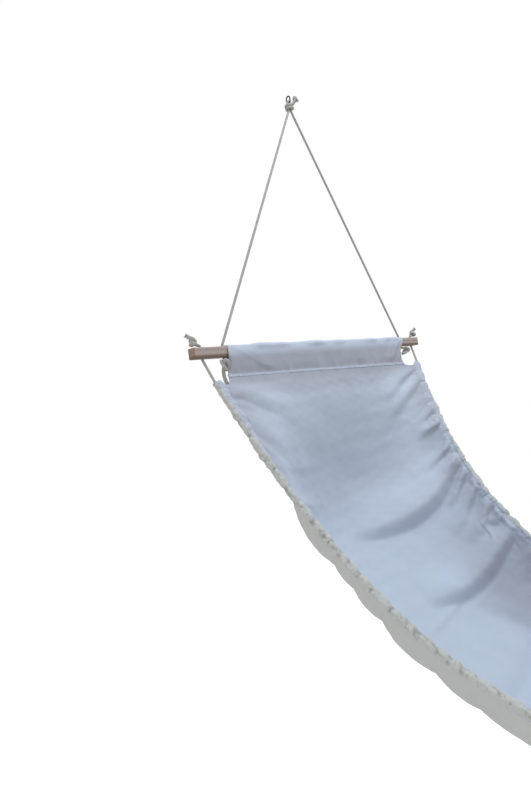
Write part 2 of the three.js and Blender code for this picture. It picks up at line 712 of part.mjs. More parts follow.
// Widens the sleeve evenly from the top of the bar down to its seam
function flare(sleeve, seamUp) {
  const position = sleeve.attributes.position;
  for (let index = 0; index < position.count; index++) {
    const share = (HALF_BAR - position.getZ(index)) / (HALF_BAR - seamUp);
    const widened = SLEEVE_HALF + SLEEVE_FLARE * THREE.MathUtils.clamp(share, 0, 1);
    position.setY(index, Math.sign(position.getY(index)) * widened);
  }
  sleeve.computeVertexNormals();
}

const hangerRoute = hangerRopeRoute();
const lashing = lashingRoute();
const edgeRoutes = { left: edgeRopeRoute(-1), right: edgeRopeRoute(1) };
for (const [name, route] of Object.entries({ hanger: hangerRoute, lashing, ...edgeRoutes })) {
  console.log(`${name} rope, least gap to itself ${leastGapToItself(route, ROPE_RADIUS).toFixed(2)} mm`);
}

const hammock = new THREE.Group();
const ends = [
  ['far', namedMesh],
  ['near', turnedMesh],
];
for (const [end, place] of ends) {
  hammock.add(place(makeLink(), darkSteel, `hanging_link_${end}`));
  hammock.add(place(ropeTube(hangerRoute), cottonRope, `hanger_rope_${end}`));
  hammock.add(place(ropeTube(lashing), cottonRope, `rope_lashing_${end}`));
  hammock.add(place(makeBar(), beechWood, `spreader_bar_${end}`));
  hammock.add(place(makeSleeve(), canvas, `bar_sleeve_${end}`));
}
hammock.add(namedMesh(ropeTube(edgeRoutes.left), cottonRope, 'edge_rope_left'));
hammock.add(namedMesh(ropeTube(edgeRoutes.right), cottonRope, 'edge_rope_right'));
hammock.add(namedMesh(makeCasing(-1), hemCloth, 'edge_casing_left'));
hammock.add(namedMesh(makeCasing(1), hemCloth, 'edge_casing_right'));
hammock.add(namedMesh(makeBed(), canvas, 'canvas_bed'));

export default hammock;
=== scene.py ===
# Dresses a packed hammock of canvas, rope and wood: its cloth, ropes, bars, links and stage.
# Metres. +X runs along the hammock from its far end to its near end, +Y along the bars, +Z up.
import math

import bmesh
import bpy
import numpy as np
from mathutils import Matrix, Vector


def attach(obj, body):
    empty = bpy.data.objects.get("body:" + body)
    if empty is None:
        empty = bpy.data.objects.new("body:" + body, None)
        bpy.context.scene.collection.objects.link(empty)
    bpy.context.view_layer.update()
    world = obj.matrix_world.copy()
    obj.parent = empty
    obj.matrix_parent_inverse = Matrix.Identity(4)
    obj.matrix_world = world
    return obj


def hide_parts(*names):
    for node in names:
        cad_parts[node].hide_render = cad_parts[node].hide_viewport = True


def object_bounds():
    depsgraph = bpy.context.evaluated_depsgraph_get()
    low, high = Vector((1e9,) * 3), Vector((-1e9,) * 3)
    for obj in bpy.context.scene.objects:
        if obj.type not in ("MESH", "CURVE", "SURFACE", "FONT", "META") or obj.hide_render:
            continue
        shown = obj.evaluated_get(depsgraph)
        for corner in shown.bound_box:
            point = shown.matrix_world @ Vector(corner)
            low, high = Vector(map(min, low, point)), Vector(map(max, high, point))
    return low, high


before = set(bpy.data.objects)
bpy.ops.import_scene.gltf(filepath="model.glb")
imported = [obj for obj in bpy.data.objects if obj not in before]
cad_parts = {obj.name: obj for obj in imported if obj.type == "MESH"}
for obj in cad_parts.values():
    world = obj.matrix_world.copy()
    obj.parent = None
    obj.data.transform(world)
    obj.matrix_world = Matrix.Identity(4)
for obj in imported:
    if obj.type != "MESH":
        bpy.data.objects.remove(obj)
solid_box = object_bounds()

bl_info = {
    "name": "Canvas hammock",
    "version": (1, 0, 0),
    "blender": (4, 5, 0),
    "location": "3D View > Sidebar > Hammock",
    "description": "Cloth, ropes, bars and links of a hammock with spreader bars, and its stage",
    "category": "Object",
}

# Sizes that the pieces share with the solids they dress
BAR_LENGTH = 1.0
BAR_SIDE = 0.028
HALF_BAR = BAR_SIDE / 2
OUTER_HOLE = 0.471
INNER_HOLE = 0.402
ROPE_HOLE = 0.0045
ROPE_RADIUS = 0.0035
LINK_WIRE = 0.004
LINK_BEND = 0.007
LINK_STRAIGHT = 0.008
HANGER_LENGTH = 0.745
HANGER_SLOPE = math.radians(77.8)
CLOTH_SLOPE = math.radians(57.9)
JOIN_BELOW_LINK = 0.021
JOIN_LENGTH = 0.013
SELF_GAP = 0.0005
EDGE_ROPE = 2.054
CASING_START = 0.066
CASING_MOUTH = 0.459
WAIST_NARROWING = 0.138
BELLY_DEPTH = 0.215
BELLY_RISE = 0.43
STITCH_LINE = 0.055
SLEEVE_HALF = 0.395
BED_LENGTH = EDGE_ROPE + 2 * CASING_START
CATENARY = EDGE_ROPE / 2 / math.tan(CLOTH_SLOPE)

HANGER_UP = np.array([-math.cos(HANGER_SLOPE), 0, math.sin(HANGER_SLOPE)])
BAR_FRONT = np.array([math.sin(HANGER_SLOPE), 0, math.cos(HANGER_SLOPE)])
CLOTH_UP = np.array([-math.cos(CLOTH_SLOPE), 0, math.sin(CLOTH_SLOPE)])
ALONG_BAR = np.array([0.0, 1.0, 0.0])
LINK_HALF = LINK_STRAIGHT / 2 + LINK_BEND
LINK_CENTRE = HANGER_UP * (LINK_WIRE / 2 - LINK_HALF)
PIVOT = HANGER_UP * (LINK_WIRE / 2 - 2 * LINK_HALF)
BAR_CENTRE = PIVOT - HANGER_UP * HANGER_LENGTH
EDGE_START = BAR_CENTRE - HANGER_UP * HALF_BAR - CLOTH_UP * CASING_START
MIDDLE_X = EDGE_START[0] + CATENARY * math.asinh(math.tan(CLOTH_SLOPE))
MIDDLE_Z = EDGE_START[2] - CATENARY * (1 / math.cos(CLOTH_SLOPE) - 1)

MM = 0.001


# Small helpers for points and meshes

# Step in which a route is followed while its corners are rounded
FINE_STEP = 0.0008


def unit(v):
    """The same directions, each one metre long."""
    return v / np.maximum(np.linalg.norm(v, axis=-1, keepdims=True), 1e-12)


def on_bar(place, front, up):
    """A point by its place along the far bar, in front of it and above it."""
    return BAR_CENTRE + ALONG_BAR * place + BAR_FRONT * front + HANGER_UP * up


def turned(points):
    """The same points at the near end, which is the far end turned half round."""
    points = np.asarray(points)
    return np.stack([2 * MIDDLE_X - points[..., 0], -points[..., 1], points[..., 2]], -1)


def smoothstep(low, high, x):
    """0 at low and before it, 1 at high and past it, and a smooth change between them."""
    t = np.clip((x - low) / (high - low), 0, 1)
    return t * t * (3 - 2 * t)


def ripples(u, v, seed, shortest, longest, count=9):
    """Gentle irregular waves over places u, v, between two wavelengths and mostly from -1 to 1."""
    rng = np.random.default_rng(seed)
    total = np.zeros(np.broadcast(u, v).shape)
    for _ in range(count):
        length = shortest * (longest / shortest) ** rng.random()
        way = rng.random() * 2 * math.pi
        phase = rng.random() * 2 * math.pi
        run = u * math.cos(way) + v * math.sin(way)
        total = total + np.sin(2 * math.pi * run / length + phase)
    return total / math.sqrt(count)


def lengths_along(points):
    """How far each of a run of points is from the first, along the run."""
    return np.concatenate([[0], np.cumsum(np.linalg.norm(np.diff(points, axis=0), axis=1))])


def at_places(places, along, values):
    """Points or directions at places along a run, worked out between its own."""
    return np.stack([np.interp(places, along, values[:, k]) for k in range(3)], -1)


def even_steps(points, step):
    """Points a step apart along a run of points."""
    points = np.asarray(points, float)
    along = lengths_along(points)
    count = max(2, int(round(along[-1] / step)) + 1)
    return at_places(np.linspace(0, along[-1], count), along, points)


def rounded_route(points, step, soften=0.0022):
    """A run of points with its corners rounded, a step apart."""
    fine = even_steps(points, FINE_STEP)
    reach = int(round(3 * soften / FINE_STEP))
    weight = np.exp(-0.5 * (np.arange(-reach, reach + 1) * FINE_STEP / soften) ** 2)
    weight /= weight.sum()
    ahead = fine[0] + (fine[0] - fine[1:reach + 1])[::-1]
    behind = fine[-1] + (fine[-1] - fine[-reach - 1:-1])[::-1]
    padded = np.concatenate([ahead, fine, behind])
    smooth = np.stack([np.convolve(padded[:, k], weight, "valid") for k in range(3)], -1)
    smooth[0], smooth[-1] = fine[0], fine[-1]
    return even_steps(smooth, step)


def frames_along(points):
    """Two directions square to a route at each of its points, without twist."""
    tangents = unit(np.gradient(points, axis=0))
    side = np.cross(tangents[0], [0.31, 0.83, 0.47])
    sides = [side / np.linalg.norm(side)]
    for tangent in tangents[1:]:
        side = sides[-1] - tangent * (sides[-1] @ tangent)
        sides.append(side / np.linalg.norm(side))
    sides = np.array(sides)
    return sides, np.cross(tangents, sides)


def grid_faces(rows, columns, closed=False, first=0):
    """Quads between the points of a grid, which may close on itself across."""
    across = columns if closed else columns - 1
    r, c = np.meshgrid(np.arange(rows - 1), np.arange(across), indexing="ij")
    following = (c + 1) % columns
    quads = [r * columns + c, r * columns + following,
             (r + 1) * columns + following, (r + 1) * columns + c]
    return np.stack(quads, -1).reshape(-1, 4) + first


class Shape:
    """Points, faces and places on the cloth or rope, gathered into one mesh. Round a tube its
    places close on themselves after the length called around."""

    def __init__(self, around=0.0):
        self.points, self.faces, self.places, self.finishes, self.masks = [], [], [], [], []
        self.count, self.around = 0, around

    def add(self, points, faces, places=None, finish=0, mask=0.0):
        """Adds points and the faces between them, which take one of the piece's finishes."""
        points = np.asarray(points, float).reshape(-1, 3)
        places = np.zeros((len(points), 2)) if places is None else np.asarray(places, float)
        mask = np.broadcast_to(np.asarray(mask, float).ravel(), len(points))
        self.points.append(points)
        self.places.append(places.reshape(-1, 2))
        self.masks.append(mask)
        for face in faces:
            self.faces.append([int(k) + self.count for k in face])
        self.finishes.extend([finish] * len(faces))
        self.count += len(points)

    def piece(self, name, *finishes):
        """The mesh object, with its finishes and smooth faces."""
        mesh = bpy.data.meshes.new(name)
        mesh.from_pydata(np.concatenate(self.points).tolist(), [], self.faces)
        for finish in finishes:
            mesh.materials.append(finish)
        mesh.polygons.foreach_set("material_index", self.finishes)
        mesh.polygons.foreach_set("use_smooth", [True] * len(mesh.polygons))
        corners = np.zeros(len(mesh.loops), np.int32)
        mesh.loops.foreach_get("vertex_index", corners)
        places = self.unrolled(mesh, np.concatenate(self.places)[corners])
        layer = mesh.uv_layers.new(name="cloth_place")
        layer.data.foreach_set("uv", places.astype(np.float32).ravel())
        # Mask of painted light and shade for each point, by which a canvas takes its second colour
        outer = mesh.attributes.new("outer_side", "FLOAT", "POINT")
        outer.data.foreach_set("value", np.concatenate(self.masks).astype(np.float32))
        outward = bmesh.new()
        outward.from_mesh(mesh)
        bmesh.ops.recalc_face_normals(outward, faces=outward.faces)
        outward.to_mesh(mesh)
        outward.free()
        piece = bpy.data.objects.new(name, mesh)
        bpy.context.scene.collection.objects.link(piece)
        return piece

    def unrolled(self, mesh, places):
        """Places with those of a tube's last strip carried on past its first."""
        if not self.around:
            return places
        first = np.zeros(len(mesh.polygons), np.int32)
        mesh.polygons.foreach_get("loop_start", first)
        highest = np.maximum.reduceat(places[:, 1], first)
        sizes = np.diff(np.append(first, len(places)))
        highest = np.repeat(highest, sizes)
        behind = places[:, 1] < highest - self.around / 2
        places[behind, 1] += self.around
        return places


def angles_round(sides):
    """Angles of the points that lie evenly round a ring."""
    return np.linspace(0, 2 * math.pi, sides, endpoint=False)


def ring_ways(first, second, angles):
    """Ways out to the points of a ring, at angles from one direction towards another."""
    return (first[..., None, :] * np.cos(angles)[:, None]
            + second[..., None, :] * np.sin(angles)[:, None])


def add_tube(shape, route, radius, sides):
    """A round tube with closed ends along a route; the radius may change along it."""
    first, second = frames_along(route)
    radius = np.broadcast_to(np.asarray(radius, float), (len(route),))
    angles = angles_round(sides)
    points = route[:, None] + ring_ways(first, second, angles) * radius[:, None, None]
    along = lengths_along(route)
    places = np.stack(np.broadcast_arrays(along[:, None], (angles * np.mean(radius))[None]), -1)
    faces = grid_faces(len(route), sides, closed=True).tolist()
    faces.append(list(range(sides))[::-1])
    faces.append([(len(route) - 1) * sides + k for k in range(sides)])
    shape.add(points, faces, places)


def add_sheet(shape, middle, thickness, places, mask, under=0):
    """A closed sheet of cloth round a grid of points. Its underside may have its own finish."""
    rows, columns = middle.shape[:2]
    normal = unit(np.cross(np.gradient(middle, axis=1), np.gradient(middle, axis=0)))
    half = np.broadcast_to(np.asarray(thickness, float), (rows, columns))[..., None] / 2
    upper, lower = middle + normal * half, middle - normal * half
    grid = grid_faces(rows, columns)
    shape.add(upper, grid, places, 0, mask)
    shape.add(lower, grid[:, ::-1], places, under, mask)
    count = rows * columns
    start = shape.count - 2 * count
    edge = [k * columns for k in range(rows)]
    edge += [(rows - 1) * columns + k for k in range(1, columns)]
    edge += [k * columns + columns - 1 for k in range(rows - 2, -1, -1)]
    edge += list(range(columns - 2, 0, -1))
    rim = []
    for one, two in zip(edge, edge[1:] + edge[:1]):
        rim.append([start + one, start + two, start + count + two, start + count + one])
    shape.faces.extend(rim)
    shape.finishes.extend([0] * len(rim))


def ride_on(piece, body, slot, *nodes):
    """Lets a piece move with a body and stand for its solids. Its slot is not used."""
    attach(piece, body)
    if nodes:
        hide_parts(*nodes)


# Finishes

# Wavelength of the canvas's threads, and length of one crossing of the rope's strands
WEAVE_PITCH = 0.0012
BRAID_PITCH = 0.0046
SOCKETS = {"colour": "Base Color", "roughness": "Roughness", "metallic": "Metallic",
           "normal": "Normal", "sheen": "Sheen Weight", "sheen_roughness": "Sheen Roughness",
           "specular": "Specular IOR Level"}


class Field:
    """A value, colour or direction that changes over a surface."""

    def __init__(self, tree, socket):
        self.tree, self.socket = tree, socket

    def maths(self, operation, *values):
        return add_node(self.tree, "ShaderNodeMath", {"operation": operation},
                        dict(enumerate(values)))

    def __add__(self, other):
        return self.maths("ADD", self, other)

    def __sub__(self, other):
        return self.maths("SUBTRACT", self, other)

    def __rsub__(self, other):
        return self.maths("SUBTRACT", other, self)

    def __mul__(self, other):
        return self.maths("MULTIPLY", self, other)

    __radd__ = __add__
    __rmul__ = __mul__

    def sine(self):
        return self.maths("SINE", self)

    def at_most_one(self):
        return self.maths("MINIMUM", self, 1.0)


def add_node(tree, kind, settings, sockets, output=0):
    """A node of a kind, with its settings made first, then its sockets' values or links."""
    node = tree.nodes.new(kind)
    for key, value in settings.items():
        if key == "stops":
            for place, colour in value[len(node.color_ramp.elements):]:
                node.color_ramp.elements.new(place)
            for element, (place, colour) in zip(node.color_ramp.elements, value):
                element.position, element.color = place, colour
        else:
            setattr(node, key, value)
    for key, value in sockets.items():
        if isinstance(value, Field):
            tree.links.new(value.socket, node.inputs[key])
        else:
            node.inputs[key].default_value = value
    return Field(tree, node.outputs[output]) if len(node.outputs) else None


class Finish:
    """A material made of nodes round one surface shader."""

    def __init__(self, name, **constants):
        self.material = bpy.data.materials.new(name)
        self.material.use_nodes = True
        self.tree = self.material.node_tree
        self.shader = self.tree.nodes["Principled BSDF"]
        for socket, value in constants.items():
            self.shader.inputs[SOCKETS[socket]].default_value = value

    def node(self, kind, settings, sockets, output=0):
        return add_node(self.tree, kind, settings, sockets, output)

    def feed(self, **sockets):
        for socket, value in sockets.items():
            self.tree.links.new(value.socket, self.shader.inputs[SOCKETS[socket]])

    def place(self):
        """Place on the cloth or rope, in metres."""
        return self.node("ShaderNodeUVMap", {"uv_map": "cloth_place"}, {})

    def spot(self):
        """Place in the hammock, in metres."""
        return self.node("ShaderNodeTexCoord", {}, {}, output=3)

    def mask(self, name):
        return self.node("ShaderNodeAttribute", {"attribute_name": name}, {}, output=2)

    def part(self, vector, index):
        return self.node("ShaderNodeSeparateXYZ", {}, {0: vector}, output=index)

    def noise(self, vector, stretch, detail=2.0, roughness=0.5):
        """Noise with a number of lumps to the metre each way."""
        scaled = self.node("ShaderNodeMapping", {}, {"Vector": vector, "Scale": stretch})
        return self.node("ShaderNodeTexNoise", {},
                         {"Vector": scaled, "Scale": 1.0, "Detail": detail, "Roughness": roughness})

    def mix(self, factor, first, second):
        return self.node("ShaderNodeMix", {"data_type": "RGBA"}, {0: factor, 6: first, 7: second},
                         output=2)

    def bump(self, height, distance, strength, under=None):
        """Small relief of a height field, which may lie over a broader one."""
        sockets = {"Height": height, "Distance": distance, "Strength": strength}
        if under:
            sockets["Normal"] = under
        return self.node("ShaderNodeBump", {}, sockets)


def linear(red, green, blue):
    """A colour written in screen values from 0 to 255, as light."""
    values = np.array([red, green, blue]) / 255
    light = np.where(values <= 0.04045, values / 12.92, ((values + 0.055) / 1.055) ** 2.4)
    return (*light.tolist(), 1.0)


def tinted(colour, gain):
    return (*[min(1.0, c * gain) for c in colour[:3]], 1.0)


def canvas_finish(name, colour, outer=None, crumple=0.22, lumps=16, creased=False):
    """Plain woven cotton canvas: threads over and under, slubs and a faint unevenness of tone.
    It may take a second colour by a mask of painted light and shade, and painted shade in a hem's
    creases."""
    cloth = Finish(name, sheen=0.1, sheen_roughness=0.6, specular=0.2)
    place = cloth.place()
    warp, weft = [(cloth.part(place, k) * (2 * math.pi / WEAVE_PITCH)).sine() for k in (0, 1)]
    slub_warp = cloth.noise(place, (35, 800, 1))
    slub_weft = cloth.noise(place, (800, 35, 1))
    cloudy = cloth.noise(place, (9, 9, 1), 3.0)
    thread = warp * weft * 0.35 + slub_warp * 0.7 + slub_weft * 0.7
    tone = (slub_warp + slub_weft) * 0.25 + cloudy * 0.5
    base = cloth.mix(tone, tinted(colour, 0.94), tinted(colour, 1.06))
    # The second colour is painted light and shade, laid on by the mask
    if outer:
        other = cloth.mix(tone, tinted(outer, 0.92), tinted(outer, 1.07))
        base = cloth.mix(cloth.mask("outer_side"), base, other)
    # Painted shade: a hem darkens by how deep in a crease each point lies
    if creased:
        base = cloth.mix(cloth.mask("crease_depth"), base, tinted(colour, 0.66))
    creases = cloth.noise(place, (lumps, lumps * 1.6, 1), 4.0, 0.55)
    broad = cloth.bump(creases, 0.004, crumple)
    cloth.feed(colour=base, roughness=0.82 + slub_warp * 0.1,
               normal=cloth.bump(thread, 0.0002, 0.3, under=broad))
    return cloth.material


def rope_finish(name, colour):
    """Braided cotton cord: a herringbone of fine strands, patchy soil, and darker in its grooves.
    """
    rope = Finish(name, sheen=0.1, sheen_roughness=0.6, specular=0.15)
    place = rope.place()
    lay = rope.part(place, 0) * (2 * math.pi / BRAID_PITCH)
    turn = rope.part(place, 1) * (4 / ROPE_RADIUS)
    braid = (lay + turn).sine() * (lay - turn).sine()
    fibres = rope.noise(place, (2600, 700, 1), 3.0, 0.6)
    soil = rope.noise(place, (30, 60, 1), 3.0)
    shade = (soil * 0.7 + (0.4 - braid * 0.4)).at_most_one()
    rope.feed(colour=rope.mix(shade, tinted(colour, 1.12), tinted(colour, 0.78)),
              roughness=0.85 + fibres * 0.1,
              normal=rope.bump(braid * 0.5 + fibres * 0.35, 0.0006, 0.8))
    return rope.material


def wood_finish(name, colour):
    """Planed bare batten: long grain, pores, darker end grain and painted shade on its lower edge.
    """
    wood = Finish(name, specular=0.3)
    spot = wood.spot()
    bend = wood.noise(spot, (6, 1.2, 6))
    rings = wood.noise(spot, (150, 3, 150), 4.0, 0.55)
    pores = wood.noise(spot, (1400, 24, 1400), 2.0, 0.6)
    streak = rings * 0.6 + pores * 0.2 + bend * 0.25
    grain = wood.node("ShaderNodeValToRGB", {"stops": [
        (0.38, tinted(colour, 0.7)), (0.5, tinted(colour, 0.97)), (0.64, tinted(colour, 1.15))]},
        {0: streak})
    brown = (colour[0], colour[1] * 0.88, colour[2] * 0.72)
    cut = wood.mix(wood.noise(spot, (260, 60, 900), 3.0), tinted(brown, 0.5),
                   tinted(brown, 0.95))
    bare = wood.mix(wood.mask("end_grain"), grain, cut)
    # Painted shade: the bar darkens towards its underside, with a wavering boundary
    painted_low_shade = (wood.mask("below_middle") - 0.35 + (bend - 0.5) * 0.3) * 5.0
    wood.feed(colour=wood.mix(painted_low_shade.at_most_one(), bare, tinted(brown, 0.4)),
              roughness=0.5 + pores * 0.25,
              normal=wood.bump(streak, 0.0005, 0.6))
    return wood.material


def steel_finish(name, colour):
    """Dark worn wire: a dull film with brighter rubbed spots."""
    steel = Finish(name, metallic=1.0)
    spot = steel.spot()
    wear = steel.noise(spot, (420, 420, 420), 4.0, 0.6)
    film = steel.noise(spot, (90, 90, 90))
    steel.feed(colour=steel.mix(film, tinted(colour, 0.75), tinted(colour, 1.6)),
               roughness=0.32 + wear * 0.25, normal=steel.bump(wear, 0.0001, 0.4))
    return steel.material


def thread_finish(name, colour):
    """Sewing thread: a fine twist with a soft shine."""
    thread = Finish(name, roughness=0.65, specular=0.3)
    twist = thread.noise(thread.spot(), (1800, 1800, 1800))
    thread.feed(colour=thread.mix(twist, tinted(colour, 0.9), tinted(colour, 1.08)))
    return thread.material


def finish(name):
    """The material of a name, made once from the colours in the panel."""
    if name in bpy.data.materials:
        return bpy.data.materials[name]
    colours = bpy.context.scene.hammock_colours
    makers = {
        # The inside and outside finishes are lit copies of one white canvas, painted with sky light
        # and with light from the ground
        "canvas_inside": lambda: canvas_finish(name, colours.inside, colours.sleeve),
        "canvas_outside": lambda: canvas_finish(name, colours.outside, crumple=0.5),
        "canvas_sleeve": lambda: canvas_finish(name, colours.inside, colours.sleeve),
        "canvas_hem": lambda: canvas_finish(name, colours.outside, colours.hem, 0.35, 36,
                                            creased=True),
        "braided_cord": lambda: rope_finish(name, colours.rope),
        "planed_batten": lambda: wood_finish(name, colours.wood),
        "worn_wire": lambda: steel_finish(name, colours.steel),
        "sewing_thread": lambda: thread_finish(name, colours.thread),
    }
    return makers[name]()


# What a user would change


def colour_property(title, text, values):
    return bpy.props.FloatVectorProperty(
        name=title, description=text, subtype="COLOR", size=4, min=0, max=1, default=values)


class HammockColours(bpy.types.PropertyGroup):
    """Colours of the hammock's finishes."""

    # The canvas is white throughout. Its inside colour is painted sky light, bluish, and its
    # outside colour painted light from the ground below, greenish grey.
    inside: colour_property("Inside", "Upper side of the canvas", linear(190, 200, 214))
    outside: colour_property("Outside", "Underside and hem of the canvas", linear(190, 193, 192))
    # Painted shade: the greyer tone of the sleeves' fronts, and of the bed along its hems, below
    # its seams and on its belly's walls
    sleeve: colour_property("Sleeve", "Sleeves round the bars and cloth near the hems",
                            linear(160, 164, 174))
    # Painted sky light: the bluish tone of the hems' upper sides next to the bed
    hem: colour_property("Hem", "Inner side of the hems", linear(178, 186, 200))
    rope: colour_property("Rope", "Cotton rope", linear(182, 181, 177))
    wood: colour_property("Wood", "Spreader bars", linear(172, 158, 152))
    steel: colour_property("Steel", "Hanging links", linear(40, 40, 43))
    thread: colour_property("Thread", "Sewing thread", linear(205, 212, 222))
    floor: colour_property("Floor", "Floor under the hammock", linear(236, 236, 236))


class HammockCloth(bpy.types.PropertyGroup):
    """Sizes of the canvas."""

    thickness: bpy.props.FloatProperty(
        name="Thickness", description="Thickness of the canvas", default=0.0014,
        min=0.0004, max=0.004, subtype="DISTANCE", unit="LENGTH")
    row_step: bpy.props.FloatProperty(
        name="Row step", description="Length of the mesh's steps along the bed", default=0.005,
        min=0.002, max=0.05, subtype="DISTANCE", unit="LENGTH")
    fold_share: bpy.props.FloatProperty(
        name="Folds", description="Height of the folds against the hung cloth's own", default=1.0,
        min=0.0, max=2.0, subtype="FACTOR")
    gather_pitch: bpy.props.FloatProperty(
        name="Gather pitch", description="Usual distance between two gathers of the hem",
        default=0.038, min=0.015, max=0.1, subtype="DISTANCE", unit="LENGTH")
    casing_radius: bpy.props.FloatProperty(
        name="Casing radius", description="Radius of the hem's casing between two gathers",
        default=0.0106, min=0.006, max=0.02, subtype="DISTANCE", unit="LENGTH")


class HammockRopes(bpy.types.PropertyGroup):
    """Sizes of the ropes and links."""

    step: bpy.props.FloatProperty(
        name="Step", description="Length of the mesh's steps along a rope", default=0.0022,
        min=0.001, max=0.02, subtype="DISTANCE", unit="LENGTH")
    sides: bpy.props.IntProperty(
        name="Sides", description="Sides of a rope's mesh", default=16, min=6, max=64)
    fray: bpy.props.FloatProperty(
        name="Fray", description="Length of the loose yarns at a cut end", default=0.0055,
        min=0.0, max=0.03, subtype="DISTANCE", unit="LENGTH")


class HammockStage(bpy.types.PropertyGroup):
    """Camera, floor and lamps."""

    eye: bpy.props.FloatVectorProperty(
        name="Eye", description="Camera's place from the middle of the far bar", size=3,
        default=(1.131, -1.347, 0.091), subtype="TRANSLATION", unit="LENGTH")
    heading: bpy.props.FloatProperty(
        name="Heading", description="Camera's direction from +X towards +Y",
        default=math.radians(135.889), subtype="ANGLE", unit="ROTATION")
    pitch: bpy.props.FloatProperty(
        name="Pitch", description="Camera's tilt above the horizon",
        default=math.radians(-8.262), subtype="ANGLE", unit="ROTATION")
    lens: bpy.props.FloatProperty(
        name="Lens", description="Focal length on a frame 36 mm high", default=26.01, min=5,
        max=200, subtype="DISTANCE_CAMERA", unit="CAMERA")
    floor_drop: bpy.props.FloatProperty(
        name="Floor drop", description="How far the floor lies under the bed's lowest point",
        default=0.5, min=0.0, max=3.0, subtype="DISTANCE", unit="LENGTH")
    ambient: bpy.props.FloatProperty(
        name="Ambient", description="Even light from all round", default=0.54, min=0.0, max=2.0)
    key: bpy.props.FloatProperty(
        name="Key lamp", description="Power of the soft lamp overhead", default=54.0, min=0.0,
        max=1000.0, subtype="POWER", unit="POWER")
    fill: bpy.props.FloatProperty(
        name="Fill lamp", description="Power of the low soft lamp at the side", default=24.0,
        min=0.0, max=1000.0, subtype="POWER", unit="POWER")


# Stage

FLOOR_HALF = 3.0
FLOOR_GLOW = 0.62
# Place, target, width and depth, and tint of the soft lamp overhead and of the low one at a side
KEY_LAMP = (0.7, 0.35, 1.7), (0.75, 0.0, -1.1), (1.7, 1.7), (0.9, 0.98, 1.08)
FILL_LAMP = (1.3, -3.0, -1.9), (1.0, 0.0, -1.35), (2.4, 1.0), (1.0, 1.0, 1.0)
AMBIENT_TINT = 1.03, 1.0, 0.97


class HAMMOCK_OT_add_stage(bpy.types.Operator):
    """Add the camera, the pale floor and the soft studio light"""

    bl_idname = "hammock.add_stage"
    bl_label = "Stage"

    def execute(self, context):
        stage = context.scene.hammock_stage
        self.add_camera(context, stage)
        self.add_floor(context, stage)
        self.add_lamps(context, stage)
        self.add_backdrop(context, stage)
        context.scene.view_settings.view_transform = "Standard"
        return {"FINISHED"}

    def add_camera(self, context, stage):
        lens = bpy.data.cameras.new("camera")
        lens.sensor_fit, lens.sensor_height, lens.lens = "VERTICAL", 36, stage.lens
        lens.clip_start, lens.clip_end = 0.01, 100
        camera = bpy.data.objects.new("camera", lens)
        camera.location = Vector(BAR_CENTRE) + Vector(stage.eye)
        level = math.cos(stage.pitch)
        ahead = Vector((level * math.cos(stage.heading), level * math.sin(stage.heading),
                        math.sin(stage.pitch)))
        camera.rotation_euler = ahead.to_track_quat("-Z", "Y").to_euler()
        context.scene.collection.objects.link(camera)
        context.scene.camera = camera

    def add_floor(self, context, stage):
        level = solid_box[0][2] - stage.floor_drop
        corners = [(x * FLOOR_HALF, y * FLOOR_HALF, level)
                   for x, y in ((-1, -1), (1, -1), (1, 1), (-1, 1))]
        mesh = bpy.data.meshes.new("floor")
        mesh.from_pydata(corners, [], [(0, 1, 2, 3)])
        floor = bpy.data.objects.new("floor", mesh)
        context.scene.collection.objects.link(floor)
        pale = Finish("pale_floor", roughness=0.9, colour=context.scene.hammock_colours.floor)
        plain = Field(pale.tree, pale.shader.outputs[0])
        glow = pale.node("ShaderNodeEmission", {}, {"Color": (1, 1, 1, 1), "Strength": FLOOR_GLOW})
        lit = pale.node("ShaderNodeAddShader", {}, {0: plain, 1: glow})
        seen = pale.node("ShaderNodeMixShader", {}, {0: seen_directly(pale.tree), 1: plain, 2: lit})
        pale.tree.links.new(seen.socket, pale.tree.nodes["Material Output"].inputs["Surface"])
        mesh.materials.append(pale.material)

    def add_lamps(self, context, stage):
        self.add_lamp(context, "key_lamp", stage.key, *KEY_LAMP)
        self.add_lamp(context, "fill_lamp", stage.fill, *FILL_LAMP)

    def add_lamp(self, context, name, power, place, target, size, tint):
        light = bpy.data.lights.new(name, "AREA")
        light.color = tint
        light.shape, light.size, light.size_y, light.energy = "RECTANGLE", *size, power
        lamp = bpy.data.objects.new(name, light)
        lamp.location = place
        lamp.rotation_euler = (Vector(target) - lamp.location).to_track_quat("-Z", "Y").to_euler()
        lamp.visible_camera = False
        context.scene.collection.objects.link(lamp)

    def add_backdrop(self, context, stage):
        world = bpy.data.worlds.new("studio")
        context.scene.world = world
        world.use_nodes = True
        tree = world.node_tree
        tree.nodes.clear()
        white, even = [add_node(tree, "ShaderNodeBackground", {}, {
            "Color": (*tint, 1), "Strength": strength})
            for tint, strength in (((1, 1, 1), 1.0), (AMBIENT_TINT, stage.ambient))]
        chosen = add_node(tree, "ShaderNodeMixShader", {}, {0: seen_directly(tree), 1: even,
                                                            2: white})
        add_node(tree, "ShaderNodeOutputWorld", {}, {"Surface": chosen})


def seen_directly(tree):
    """1 for what is seen straight, in gloss or through glass, and 0 for what only gives light."""
    path = tree.nodes.new("ShaderNodeLightPath")
    straight, gloss, through = [Field(tree, path.outputs[f"Is {ray} Ray"])
                                for ray in ("Camera", "Glossy", "Transmission")]
    return (straight + gloss + through).at_most_one()


# Ropes and links

# Overhand knots, in rope diameters. The ring of a knot runs from the first angle to the second.
# The hole lies beside the ring's middle by KNOT_LEAD and below its lobes by KNOT_REST, and the
# bends into and out of the ring are drawn on by KNOT_PULL.
KNOT_ANGLES = math.radians(30), math.radians(318)
KNOT_LEAD = np.array([1.75, 1.2])
KNOT_REST = 0.93
KNOT_PULL = 0.75
